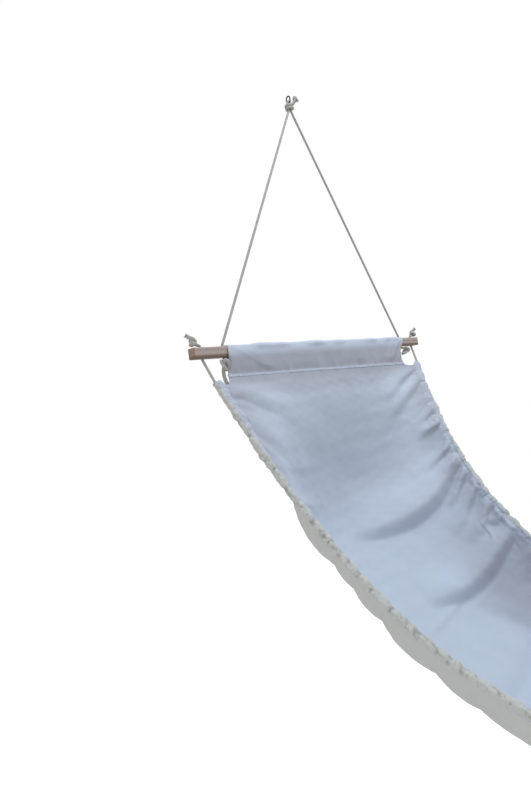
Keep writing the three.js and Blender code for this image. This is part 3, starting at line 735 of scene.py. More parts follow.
# Each knot has the radius of its ring, the sway of its three lobes, how many times its own height
# it is drawn out, the tip of its tail, and the point that the tail's last bend is drawn towards
OUTER_KNOT = 0.88, 0.56, 1.25, np.array([-1.9, -0.9, 2.1]), np.array([-1.5, -1.2, 1.5])
LEFT_INNER_KNOT = 0.84, 0.5, 3.2, np.array([-0.1, 0.2, 6.8]), np.array([0.2, -0.5, 4.6])
RIGHT_INNER_KNOT = 0.92, 0.54, 1.5, np.array([1.9, -0.2, 1.6]), np.array([1.3, -1.1, 1.4])
# An inner knot lies this many times as far forward of its hole as outward
INNER_FORWARD = 1.2
# A rope is swollen near its cut ends, so its knots are larger by a scale. It is thickest up to the
# first distance of SWELL_FADE from the end and plain past the second, and flares at the cut itself.
KNOT_SCALE = 1.12
END_SWELL = 0.4
SWELL_FADE = 0.095, 0.12
CUT_FLARE = 0.16
FLARE_LENGTH = 0.0035
# Yarns of a frayed end, which lie evenly over the cut
YARNS = 19
YARN_RADIUS = 0.00075
GOLDEN_ANGLE = 2.39996
# Gap between a knot and its bar
SEAT_GAP = 0.0003
# Room in the bend round a link that keeps the rope clear of it at the limits of the swing
BIGHT_EASE = 0.0005
# Loose end of a lashing, in millimetres along the bar, forward and up from where it starts
LASHING_TAIL = (6, 11, 14), (11, 15, 23), (10, 15.5, 33), (16, 15.5, 35), (19, 15.5, 27)


def bezier(start, pull, end_pull, end, count):
    """A curve from start to end, which leaves towards pull and arrives from end_pull."""
    t = np.linspace(0, 1, count + 1)[:, None]
    return ((1 - t) ** 3 * start + 3 * (1 - t) ** 2 * t * pull
            + 3 * (1 - t) * t ** 2 * end_pull + t ** 3 * end)


def knot_shape(girth, lobe, rise, *tail):
    """An overhand knot in rope diameters, from the hole at the origin to the tip of its tail."""
    tail = [point / [1, 1, rise] for point in tail]
    angle = np.linspace(*KNOT_ANGLES, 73)
    radius = girth + lobe * np.cos(3 * angle)
    ring = np.stack([radius * np.cos(2 * angle), radius * np.sin(2 * angle),
                     -lobe * np.sin(3 * angle)], -1)
    into, out = unit(ring[3] - ring[0]), unit(ring[-1] - ring[-4])
    mouth = np.array([*KNOT_LEAD, -lobe - KNOT_REST / rise])
    lead = bezier(mouth, mouth + [0, 0, 1.1 / rise], ring[0] - into * KNOT_PULL, ring[0], 12)
    end = bezier(ring[-1], ring[-1] + out * KNOT_PULL, tail[1], tail[0], 16)
    route = np.concatenate([lead[:-1], ring, end[1:]]) - mouth
    turn = -math.atan2(KNOT_LEAD[1], KNOT_LEAD[0])
    c, s = math.cos(turn), math.sin(turn)
    return np.stack([route[:, 0] * c - route[:, 1] * s, route[:, 0] * s + route[:, 1] * c,
                     route[:, 2] * rise], -1)


def stopper_knot(hole, out, to_hole, knot):
    """A knot that stands out of a bar and lies beside its hole, from the hole to its tail's tip."""
    side = np.cross(out, to_hole)
    route = knot_shape(*knot) * 2 * ROPE_RADIUS * KNOT_SCALE
    return (hole + route[:, :1] * to_hole + route[:, 1:2] * side
            + (route[:, 2:] + SEAT_GAP) * out)


def outer_knot(side):
    """An edge rope's knot, on top of the bar."""
    return stopper_knot(on_bar(side * OUTER_HOLE, 0, HALF_BAR), HANGER_UP, ALONG_BAR * -side,
                        OUTER_KNOT)


def inner_knot(side):
    """A hanger rope's knot, under the bar."""
    to_hole = unit(ALONG_BAR * -side - BAR_FRONT * INNER_FORWARD)
    return stopper_knot(on_bar(side * INNER_HOLE, 0, -HALF_BAR), -HANGER_UP, to_hole,
                        LEFT_INNER_KNOT if side < 0 else RIGHT_INNER_KNOT)


def bend(before, corner, after, reach, count=6):
    """A rounded corner, which starts and ends a reach away from the sharp one."""
    into, away = corner + unit(before - corner) * reach, corner + unit(after - corner) * reach
    t = np.linspace(0, 1, count + 1)[:, None]
    return (1 - t) ** 2 * into + 2 * (1 - t) * t * corner + t ** 2 * away


def hanger_leg(side):
    """One leg of a hanger rope, from inside the bar to the top of the lashing."""
    spread = ROPE_RADIUS + SELF_GAP / 2
    join = HANGER_LENGTH - JOIN_BELOW_LINK
    mouth, start = on_bar(side * INNER_HOLE, 0, HALF_BAR + MM), on_bar(side * spread, 0, join)
    end = on_bar(side * spread, 0, join + JOIN_LENGTH)
    inside = on_bar(side * INNER_HOLE, 0, -HALF_BAR + ROPE_RADIUS)
    return np.concatenate([[inside], bend(inside, mouth, start, ROPE_RADIUS),
                           bend(mouth, start, end, JOIN_LENGTH / 3), [end]])


def hanger_route():
    """Hanger rope: from one knot up round the link and down to the other knot."""
    reach = LINK_WIRE / 2 + SELF_GAP + ROPE_RADIUS + BIGHT_EASE
    low = math.radians(-25)
    angle = np.linspace(low, math.pi - low, 40)
    bight = np.array([on_bar(-reach * math.cos(a), 0, HANGER_LENGTH + reach * math.sin(a))
                      for a in angle])
    return np.concatenate([inner_knot(-1)[::-1], hanger_leg(-1), bight, hanger_leg(1)[::-1],
                           inner_knot(1)])


def lashing_route():
    """Lashing: a turn and a half round both legs of the hanger rope, then its loose end."""
    spread = ROPE_RADIUS + SELF_GAP / 2
    wide, deep = spread + 2 * ROPE_RADIUS + 2 * SELF_GAP, 2 * ROPE_RADIUS + 2.4 * SELF_GAP
    low, pitch = HANGER_LENGTH - JOIN_BELOW_LINK + 2 * MM, 2 * ROPE_RADIUS + SELF_GAP
    turns = [on_bar(wide * math.sin(a), deep * math.cos(a), low + pitch * (a / math.pi - 1) / 2)
             for a in np.linspace(math.pi, 4 * math.pi, 55)]
    tail = [on_bar(across * MM, front * MM, low + up * MM) for across, front, up in LASHING_TAIL]
    return np.array(turns + tail)


def edge_line(distance):
    """Places down the cloth's edge, the way straight out of the cloth below them, and how far
    they are from the cloth's nearer end."""
    from_end = np.minimum(distance, BED_LENGTH - distance)
    to_middle = BED_LENGTH / 2 - from_end
    curved = np.minimum(to_middle, EDGE_ROPE / 2)
    straight = to_middle - curved
    slope = curved / CATENARY
    x = MIDDLE_X - CATENARY * np.arcsinh(slope) + straight * CLOTH_UP[0]
    z = MIDDLE_Z + CATENARY * (np.sqrt(1 + slope * slope) - 1) + straight * CLOTH_UP[2]
    run = 1 / np.sqrt(1 + slope * slope)
    far = distance <= BED_LENGTH / 2
    return (np.where(far, x, 2 * MIDDLE_X - x), z, np.where(far, -slope * run, slope * run), -run,
            from_end)


def edge_half_width(from_end):
    """Half the width between the two edge ropes, which is least at the middle of the cloth."""
    share = (from_end - CASING_START) / (EDGE_ROPE / 2)
    return CASING_MOUTH - WAIST_NARROWING * share * (2 - share)


def edge_points(distance, side):
    """Points of one edge of the cloth, where the middle of the edge rope lies."""
    x, z, _, _, from_end = edge_line(distance)
    return np.stack([x, side * edge_half_width(from_end), z], -1)


def edge_route(side):
    """Edge rope: knot, down through the bar, along the cloth's edge and up to the other knot."""

    def end(which):
        under, inside = on_bar(which * OUTER_HOLE, 0, -HALF_BAR - MM), on_bar(
            which * OUTER_HOLE, 0, HALF_BAR - ROPE_RADIUS)
        casing = edge_points(np.array([CASING_START]), which)[0]
        return np.concatenate([outer_knot(which)[::-1], [inside],
                               bend(inside, under, casing, ROPE_RADIUS)])

    distances = CASING_START + np.linspace(0, EDGE_ROPE, 160)
    return np.concatenate([end(side), edge_points(distances, side), turned(end(-side))[::-1]])


def add_fray(shape, tip, way, seed, length):
    """Loose yarns that spread from a rope's cut end."""
    rng = np.random.default_rng(seed)
    side = unit(np.cross(way, [0.3, 0.5, 0.8]))
    other = np.cross(way, side)
    for turn in range(YARNS):
        angle = turn * GOLDEN_ANGLE
        out = ROPE_RADIUS * 0.85 * math.sqrt((turn + 0.5) / YARNS)
        across = side * math.cos(angle) + other * math.sin(angle)
        root = tip - way * 0.003 + across * out * 0.85
        lean = 0.35 + 0.5 * out / ROPE_RADIUS + 0.2 * rng.random()
        reach = length * (0.75 + 0.5 * rng.random())
        middle = root + way * (reach * 0.6 + 0.003) + across * reach * lean * 0.3
        end = middle + way * reach * 0.35 + across * reach * lean * (0.4 + 0.3 * rng.random())
        t = np.linspace(0, 1, 6)[:, None]
        route = (1 - t) ** 2 * root + 2 * (1 - t) * t * middle + t ** 2 * end
        add_tube(shape, route, np.linspace(YARN_RADIUS, 0.8 * YARN_RADIUS, 6), 5)


def make_rope(name, route, ropes, seeds=(None, None)):
    """A rope along its route. An end with a seed is cut there: it swells, flares and frays."""
    shape = Shape(around=2 * math.pi * ROPE_RADIUS)
    points = rounded_route(route, ropes.step)
    along = np.arange(len(points)) * ropes.step
    radius = ROPE_RADIUS * (0.985 + 0.02 * ripples(along, 0 * along, 7, 0.012, 0.09))
    for seed, order in zip(seeds, (1, -1)):
        if seed is not None:
            from_tip = np.abs(along if order == 1 else along[-1] - along)
            radius = radius * (1 + CUT_FLARE * np.exp(-(from_tip / FLARE_LENGTH) ** 2)
                               + END_SWELL * (1 - smoothstep(*SWELL_FADE, from_tip)))
    add_tube(shape, points, radius, ropes.sides)
    for seed, (tip, before) in zip(seeds, ((points[0], points[2]), (points[-1], points[-3]))):
        if seed is not None:
            add_fray(shape, tip, unit(tip - before), seed, ropes.fray)
    return shape.piece(name, finish("braided_cord"))


class HAMMOCK_OT_add_ropes(bpy.types.Operator):
    """Add the hanger ropes with their knots, the lashings under the links and the edge ropes"""

    bl_idname = "hammock.add_ropes"
    bl_label = "Ropes"

    def execute(self, context):
        ropes = context.scene.hammock_ropes
        hanger, lashing = hanger_route(), lashing_route()
        for end, place, seed in (("far", np.asarray, 10), ("near", turned, 20)):
            rope = make_rope(f"hanger_cord_{end}", place(hanger), ropes, (seed, seed + 1))
            ride_on(rope, "sling", "cotton_rope", f"hanger_rope_{end}")
            rope = make_rope(f"lashing_{end}", place(lashing), ropes, (None, seed + 2))
            ride_on(rope, "sling", "cotton_rope", f"rope_lashing_{end}")
        for label, side, seed in (("left", -1, 30), ("right", 1, 40)):
            rope = make_rope(f"edge_cord_{label}", edge_route(side), ropes, (seed, seed + 1))
            ride_on(rope, "sling", "cotton_rope", f"edge_rope_{label}")
        return {"FINISHED"}


class HAMMOCK_OT_add_links(bpy.types.Operator):
    """Add the two oval steel links that the hammock hangs from"""

    bl_idname = "hammock.add_links"
    bl_label = "Links"

    def execute(self, context):
        half = LINK_STRAIGHT / 2
        steps, sides = 25, 18
        arc = np.linspace(0, math.pi, steps)
        bow = np.stack([LINK_BEND * np.cos(arc), half + LINK_BEND * np.sin(arc)], -1)
        loop = np.concatenate([bow, -bow])
        for end, place in (("far", np.asarray), ("near", turned)):
            centre = place(np.array([LINK_CENTRE + BAR_FRONT * a + HANGER_UP * b for a, b in loop]))
            middle = place(LINK_CENTRE)
            way = unit(np.roll(centre, -1, 0) - np.roll(centre, 1, 0))
            plane = unit(np.cross(centre[0] - middle, centre[steps // 2] - middle))
            ring = ring_ways(np.cross(way, plane), plane, angles_round(sides))
            faces = grid_faces(len(centre) + 1, sides, closed=True) % (len(centre) * sides)
            shape = Shape()
            shape.add(centre[:, None] + LINK_WIRE / 2 * ring, faces.tolist())
            link = shape.piece(f"steel_link_{end}", finish("worn_wire"))
            ride_on(link, "links", "dark_steel", f"hanging_link_{end}")
        return {"FINISHED"}


# Bars

EDGE_ROUNDING = 0.003
END_ROUNDING = 0.0018
END_GRAIN_DEPTH = 0.0012
# Faces of a bar that are smaller than this, in square metres, belong to its edges and holes
SMALL_FACE = 0.004
HOLE_SIDES = 28


class HAMMOCK_OT_add_bars(bpy.types.Operator):
    """Add the two square spreader bars with their rope holes"""

    bl_idname = "hammock.add_bars"
    bl_label = "Spreader bars"

    def execute(self, context):
        for end, place in (("far", np.asarray), ("near", turned)):
            bar = self.make_bar(f"batten_{end}", place)
            ride_on(bar, "sling", "bare_wood", f"spreader_bar_{end}")
        return {"FINISHED"}

    def make_bar(self, name, place):
        mesh = bpy.data.meshes.new(name)
        shape = bmesh.new()
        bmesh.ops.create_cube(shape, size=1.0)
        bmesh.ops.scale(shape, vec=(BAR_SIDE, BAR_LENGTH, BAR_SIDE), verts=shape.verts)
        long_edges = [e for e in shape.edges if abs(e.verts[0].co.y - e.verts[1].co.y) > 0.5]
        bmesh.ops.bevel(shape, geom=long_edges, offset=EDGE_ROUNDING, segments=5, profile=0.5,
                        affect="EDGES")
        ends = [e for e in shape.edges if len(e.link_faces) == 2
                and abs(e.verts[0].co.y - e.verts[1].co.y) < 1e-6
                and any(len(f.verts) > 4 for f in e.link_faces)]
        bmesh.ops.bevel(shape, geom=ends, offset=END_ROUNDING, segments=4, profile=0.5,
                        affect="EDGES")
        bmesh.ops.recalc_face_normals(shape, faces=shape.faces)
        shape.to_mesh(mesh)
        shape.free()
        mesh.materials.append(finish("planed_batten"))
        bar = bpy.data.objects.new(name, mesh)
        bpy.context.scene.collection.objects.link(bar)
        drill = self.make_drill(name)
        cut = bar.modifiers.new("holes", "BOOLEAN")
        cut.operation, cut.object, cut.solver = "DIFFERENCE", drill, "EXACT"
        depsgraph = bpy.context.evaluated_depsgraph_get()
        drilled = bpy.data.meshes.new_from_object(bar.evaluated_get(depsgraph))
        bar.modifiers.clear()
        bar.data = drilled
        bpy.data.objects.remove(drill)
        local = np.array([v.co for v in drilled.vertices])
        world = place(BAR_CENTRE + local[:, :1] * BAR_FRONT + local[:, 1:2] * ALONG_BAR
                      + local[:, 2:] * HANGER_UP)
        drilled.vertices.foreach_set("co", world.astype(np.float32).ravel())
        # How far below the bar's middle each point lies, for the finish's painted shade on the
        # lower edge
        depth = drilled.attributes.new("below_middle", "FLOAT", "POINT")
        depth.data.foreach_set("value", -local[:, 2] / HALF_BAR)
        grain = drilled.attributes.new("end_grain", "FLOAT", "FACE")
        drilled.update()
        end_grain = [1.0 if abs(f.center.y) > BAR_LENGTH / 2 - END_GRAIN_DEPTH else 0.0
                     for f in drilled.polygons]
        grain.data.foreach_set("value", end_grain)
        smooth = [abs(f.normal.y) < 0.2 and f.area < SMALL_FACE for f in drilled.polygons]
        drilled.polygons.foreach_set("use_smooth", smooth)
        return bar

    def make_drill(self, name):
        mesh = bpy.data.meshes.new(name + "_drill")
        shape = bmesh.new()
        for place in (-OUTER_HOLE, -INNER_HOLE, INNER_HOLE, OUTER_HOLE):
            made = bmesh.ops.create_cone(shape, segments=HOLE_SIDES, radius1=ROPE_HOLE,
                                         radius2=ROPE_HOLE, depth=BAR_SIDE * 2, cap_ends=True)
            bmesh.ops.translate(shape, verts=made["verts"], vec=(0, place, 0))
        shape.to_mesh(mesh)
        shape.free()
        drill = bpy.data.objects.new(name + "_drill", mesh)
        bpy.context.scene.collection.objects.link(drill)
        return drill


# Cloth

# Main folds of the bed. Each runs along its crest, through places that are the distance down the
# cloth in millimetres and the place across, from -1 at the left hem to 1 at the right. Then come
# its heights there and the widths of its upper and lower slope, in millimetres.
FOLDS = (
    ([(436, 1.0), (442, 0.92), (452, 0.86), (468, 0.78), (483, 0.68), (492, 0.56), (495, 0.45),
      (493, 0.33), (487, 0.2), (479, 0.08), (470, -0.03), (462, -0.14)],
     (12, 26, 32, 36, 38, 38, 37, 34, 28, 20, 10, 0),
     (18, 32, 46, 60, 74, 84, 90, 90, 86, 80, 74, 66),
     (14, 22, 28, 32, 36, 38, 38, 36, 34, 32, 30, 28)),
    ([(690, 1.0), (696, 0.93), (702, 0.86), (709, 0.76), (715, 0.65), (719, 0.53), (719, 0.42),
      (712, 0.31), (700, 0.2), (688, 0.1)], (8, 20, 28, 34, 37, 37, 34, 29, 18, 0),
     (14, 24, 34, 42, 48, 52, 52, 50, 46, 42), (12, 20, 26, 30, 34, 34, 32, 30, 26, 24)),
    ([(730, 0.4), (737, 0.3), (741, 0.2), (745, 0.08), (749, -0.06), (750, -0.18)],
     (1, 3, 4, 4, 3, 0), (18, 16, 14, 13, 12, 12), (12, 10, 9, 9, 9, 9)),
    ([(748, 0.4), (768, 0.45), (808, 0.53), (852, 0.58), (902, 0.62), (960, 0.65)],
     (2, 6, 8, 7, 5, 0), (64, 70, 76, 76, 72, 66), (26, 34, 40, 44, 46, 46)),
    ([(300, 1.0), (300, 0.95), (302, 0.89), (306, 0.83), (312, 0.76)], (10, 19, 19, 12, 0),
     (10, 14, 16, 18, 18), (9, 11, 13, 15, 16)),
    ([(376, 1.0), (384, 0.94), (392, 0.87), (402, 0.79), (412, 0.7)], (9, 17, 17, 11, 0),
     (10, 14, 18, 22, 24), (8, 12, 15, 18, 20)),
    ([(424, 1.0), (430, 0.95), (438, 0.89), (448, 0.82)], (6, 8, 6, 0), (9, 11, 13, 14),
     (8, 10, 12, 12)),
    ([(466, 1.0), (480, 0.95), (500, 0.88), (522, 0.8), (540, 0.72)], (8, 16, 16, 11, 0),
     (10, 13, 16, 18, 20), (8, 12, 14, 16, 16)),
    ([(530, 1.0), (540, 0.93), (560, 0.84), (584, 0.74), (600, 0.62)], (6, 13, 14, 10, 0),
     (12, 16, 22, 28, 30), (9, 14, 18, 22, 24)),
    ([(586, 1.0), (598, 0.95), (616, 0.88), (636, 0.79), (650, 0.68)], (9, 17, 18, 12, 0),
     (11, 15, 20, 24, 26), (9, 12, 16, 20, 20)),
    ([(866, 0.5), (878, 0.32), (890, 0.12), (898, -0.08), (902, -0.28)], (0, 9, 13, 11, 0),
     (70, 80, 80, 80, 70), (34, 38, 40, 38, 34)),
    ([(770, 1.0), (784, 0.93), (802, 0.85), (824, 0.76)], (6, 12, 10, 0), (12, 18, 24, 28),
     (10, 14, 20, 24)),
    ([(88, 0.93), (100, 0.82), (118, 0.7), (146, 0.57), (180, 0.42)], (3, 10, 12, 9, 0),
     (14, 20, 26, 32, 36), (10, 16, 22, 28, 32)),
    ([(128, 0.95), (146, 0.85), (172, 0.72), (204, 0.58), (240, 0.42)], (3, 10, 13, 10, 0),
     (16, 22, 30, 36, 40), (14, 22, 28, 34, 38)),
    ([(88, -0.97), (98, -0.86), (116, -0.72), (144, -0.55), (180, -0.36)], (2, 9, 10, 7, 0),
     (16, 22, 32, 42, 46), (16, 24, 34, 42, 46)),
    ([(166, -0.97), (196, -0.86), (232, -0.7), (268, -0.5)], (2, 7, 7, 0), (24, 34, 44, 50),
     (24, 34, 44, 50)),
    ([(250, -0.97), (300, -0.84), (352, -0.66), (400, -0.46)], (2, 5, 5, 0), (30, 44, 56, 60),
     (26, 38, 50, 60)),
)

# Billows of the belly's outer side: between which distances down the cloth each stands out, and
# how far, in millimetres
BILLOWS = ((300, 383, 5), (383, 548, 15), (548, 612, 6), (612, 696, 9), (696, 830, 12),
           (830, 922, 7), (922, 1050, 5), (1050, 1180, 7), (1180, 1300, 6), (1300, 1420, 8))

# Ridges that gathers send into the bed, for large and small gathers: their share of the usual
# pitch, which of a hem's random draws they use, their greatest height and reach, and their sway.
# They slant along the hem by a share of their way in from it.
RIDGES = (1.0, 1, 0.0105, 0.085, 0.006), (0.36, 3, 0.004, 0.026, 0.003)
SLANT = 0.3
# How deep the same gathers draw in the casing
PINCHES = (1.0, 1, 0.0048), (0.36, 3, 0.0038)

# The sleeve's seam is this much lower or higher at its ends, its right edge is this much further
# in where it hangs, and the notch beside it reaches this far down the cloth
SEAM_TILT = 0.007
SLEEVE_NARROWING = 0.023
NOTCH_LOW = 0.076
# The bed stops this far short of the middle of the edge rope, and the hem reaches this far in
BESIDE_ROPE = 0.0065
HEM_DEPTH = 0.026
# The bed starts a little above the sleeve's stitches. Its rows lie closer together up to END_ROWS
# from each end, and its columns past a share of the way to each hem.
FIRST_ROW = STITCH_LINE - 0.002
END_ROWS = 0.12
HEM_COLUMNS = 0.82

# Radius of a casing's inner skin, and the outer one's usual radius, by which its weave is laid
CASING_BORE = 0.0044
CASING_USUAL = 0.009

# The sleeve's cloth stands off the bar, turns round its edges by a radius, and has a lip in front
# of its stitches
SLEEVE_STAND = 0.0012
SLEEVE_CORNER = 0.0038
SEAM_LIP = 0.006
SLEEVE_COLUMNS = 321
# Slanting wrinkles on the sleeve's front: place along the bar, slant, width and height
WRINKLES = ((-0.375, 1.6, 0.014, 0.0014), (-0.34, 1.3, 0.02, 0.0017), (0.378, -1.1, 0.013, 0.003),
            (0.345, -0.8, 0.016, 0.003), (0.1, -0.5, 0.02, 0.0015), (-0.12, 0.4, 0.02, 0.0015))

# Length of a stitch and radii of its thread, then for the five points of a stitch their places as
# shares of its length, how far each stands up, and the thread's thickness as a share of its own
STITCH_PITCH = 0.0046
HEM_THREAD = 0.00038
SLEEVE_THREAD = 0.00036
STITCH_PLACES = np.array([-0.36, -0.18, 0.0, 0.18, 0.36])
STITCH_RISE = np.array([0.0, 0.0004, 0.0006, 0.0004, 0.0])
STITCH_GIRTH = np.array([0.45, 0.95, 1.0, 0.95, 0.45])


def hem_gathers(side, pitch):
    """Places down one hem where it is gathered, how tight each is, and a chance for each."""
    rng = np.random.default_rng(40 + side)
    places = [CASING_START - 0.5 * pitch]
    while places[-1] < BED_LENGTH - CASING_START:
        places.append(places[-1] + pitch * (0.5 + 0.95 * rng.random()))
    return np.array(places), 0.35 + 0.65 * rng.random(len(places)), rng.random(len(places))


def between_gathers(distance, places):
    """Which gathers a place lies between, and its share of the way between them."""
    index = np.clip(np.searchsorted(places, distance) - 1, 0, len(places) - 2)
    share = np.clip((distance - places[index]) / (places[index + 1] - places[index]), 0, 1)
    return index, share


def ruffle(distance, from_hem, side, pitch):
    """Ridges that the gathers of a hem send into the cloth, in metres above it."""
    total = np.zeros(np.broadcast(distance, from_hem).shape)
    inward = np.maximum(from_hem, 0)
    for size, draw, tallest, furthest, sway in RIDGES:
        places, _, chance = hem_gathers(side * draw, pitch * size)
        wander = sway * ripples(distance, inward, 70 + side, 0.05, 0.2)
        index, share = between_gathers(distance - SLANT * inward - wander * inward / 0.02, places)
        width = places[index + 1] - places[index]
        height = tallest * (0.2 + 0.8 * chance[index] ** 1.5) * width / (pitch * size)
        reach = furthest * (0.25 + 0.75 * chance[index + 1] ** 2)
        round_ridge = np.sin(np.pi * share) ** 0.75
        total = total + height * round_ridge * np.exp(-(inward / reach) ** 1.4)
    return total


def fold_height(distance, across, arc, crest, heights, upper, lower):
    """Height of one fold: a soft rise to its crest and a steeper fall down to a crease."""
    crest = np.asarray(crest, float)
    result = np.zeros(distance.shape)
    reach = (max(upper) * 2.2 + 5) * MM
    rows = (distance[:, 0] > crest[:, 0].min() * MM - reach - 0.03) & (
        distance[:, 0] < crest[:, 0].max() * MM + reach + 0.03)
    if not rows.any():
        return result
    here = np.stack([distance, across * arc], -1)[rows]
    half = np.interp(crest[:, 0] * MM, distance[:, 0], arc[:, 0])
    points = np.stack([crest[:, 0] * MM, crest[:, 1] * half], -1)
    nearest = np.full(here.shape[:2], 1e9)
    found = np.zeros(here.shape[:2])
    for k in range(len(points) - 1):
        start, run = points[k], points[k + 1] - points[k]
        share = np.clip(((here - start) @ run) / (run @ run), 0, 1)
        offset = here - (start + share[..., None] * run)
        length = np.linalg.norm(offset, axis=-1)
        below = (run[1] * offset[..., 0] - run[0] * offset[..., 1]) * np.sign(run[1]) > 0
        height, up, down = [(values[k] + share * (values[k + 1] - values[k])) * MM
                            for values in (heights, upper, lower)]
        t = np.clip(length / down, 0, 1)
        profile = np.where(below, 1 - 1.8 * t ** 2 + 0.8 * t ** 3, np.exp(-(length / up) ** 2))
        nearer = length < nearest
        nearest = np.where(nearer, length, nearest)
        found = np.where(nearer, height * profile, found)
    result[rows] = found
    return result


def bed_arc(distance):
    """Half the bed's width, its belly's depth, its lean at the hem and half its width along it."""
    _, _, _, _, from_end = edge_line(distance)
    half = edge_half_width(from_end)
    belly = BELLY_DEPTH * smoothstep(0, 1, (from_end - STITCH_LINE) / BELLY_RISE)
    lean = np.maximum(2 * np.arctan(belly / half), 0.001)
    return half, belly, lean, half * lean / np.sin(lean)


def bed_surface(distance, across):
    """Points of the hung cloth before its folds, and the way out of its underside."""
    x, z, out_x, out_z, _ = edge_line(distance)
    half, belly, lean, _ = bed_arc(distance)
    y = half * np.sin(lean * across) / np.sin(lean)
    sag = belly * (np.cos(lean * across) - np.cos(lean)) / (1 - np.cos(lean))
    middle = np.stack([x + out_x * sag, y, z + out_z * sag], -1)
    tilt = lean * across
    under = np.stack([out_x * np.cos(tilt), np.sin(tilt), out_z * np.cos(tilt)], -1)
    return middle, under


def bed_relief(distance, across, cloth):
    """How far the cloth stands up from its hung shape: folds, gathers, billows and unevenness."""
    arc = np.broadcast_to(bed_arc(distance)[3], distance.shape)
    from_hem = (1 - np.abs(across)) * arc
    up = np.zeros(distance.shape)
    for crest, heights, upper, lower in FOLDS:
        up += fold_height(distance, across, arc, crest, heights, upper, lower)
        up += fold_height((BED_LENGTH - distance)[::-1], -across[::-1], arc[::-1], crest, heights,
                          upper, lower)[::-1]
    up += 0.0012 * ripples(distance, across * arc, 12, 0.09, 0.3)
    length = round(BED_LENGTH / MM)
    for start, end, out in BILLOWS:
        for one, two, side in ((start, end, -1), (length - end, length - start, 1)):
            t = np.clip((distance / MM - one) / (two - one), 0, 1)
            place = side * across
            up -= out * MM * (4 * t * (1 - t)) ** 0.7 * smoothstep(0.12, 0.55, place) * (
                1 - smoothstep(0.8, 1.0, place))
    up *= 0.45 + 0.55 * smoothstep(0.0, 0.035, from_hem)
    drawn = 0.4 + 0.6 * smoothstep(0.08, 0.3, np.minimum(distance, BED_LENGTH - distance))
    for side in (-1, 1):
        up += drawn * ruffle(distance, (1 - side * across) * arc, side, cloth.gather_pitch)
    up += 0.0005 * ripples(distance, across * arc, 13, 0.02, 0.06)
    return up * cloth.fold_share * smoothstep(0.003, 0.016, from_hem)


def seam_drop(place):
    """How much lower than level the sleeve's seam runs at a place along the bar."""
    return 0.002 + SEAM_TILT * np.clip(place / SLEEVE_HALF, -1, 1)


def seam_puckers(place, away):
    """Small ridges that the sleeve's stitching draws into the cloth on both sides of it."""
    total = np.zeros(place.shape)
    rng = np.random.default_rng(21)
    for _ in range(64):
        centre, width = rng.uniform(-0.39, 0.39), rng.uniform(0.003, 0.012)
        reach, lean = rng.uniform(0.006, 0.04), rng.normal(0, 0.3)
        total += 0.0012 * np.exp(-((place - centre - lean * away) / width) ** 2) * np.exp(
            -np.abs(away) / reach)
    return total * (1 - smoothstep(0.37, 0.39, np.abs(place)))


def bed_top(place):
    """How far down the cloth the bed starts: at the sleeve's seam, or in the notch beside it."""
    outer = edge_half_width(CASING_START) - BESIDE_ROPE
    inner = SLEEVE_HALF + np.where(place > 0, 0.001 - SLEEVE_NARROWING, 0.012)
    t = np.clip((np.abs(place) - inner) / (outer - inner), 0, 1)
    start = FIRST_ROW + seam_drop(place)
    dip = start + (NOTCH_LOW - start) * np.sqrt(np.maximum(1 - (1 - 2 * t) ** 2, 0))
    rise = NOTCH_LOW - (NOTCH_LOW - CASING_START) * (2 * t - 1) ** 2
    return np.where(t < 0.5, dip, rise)


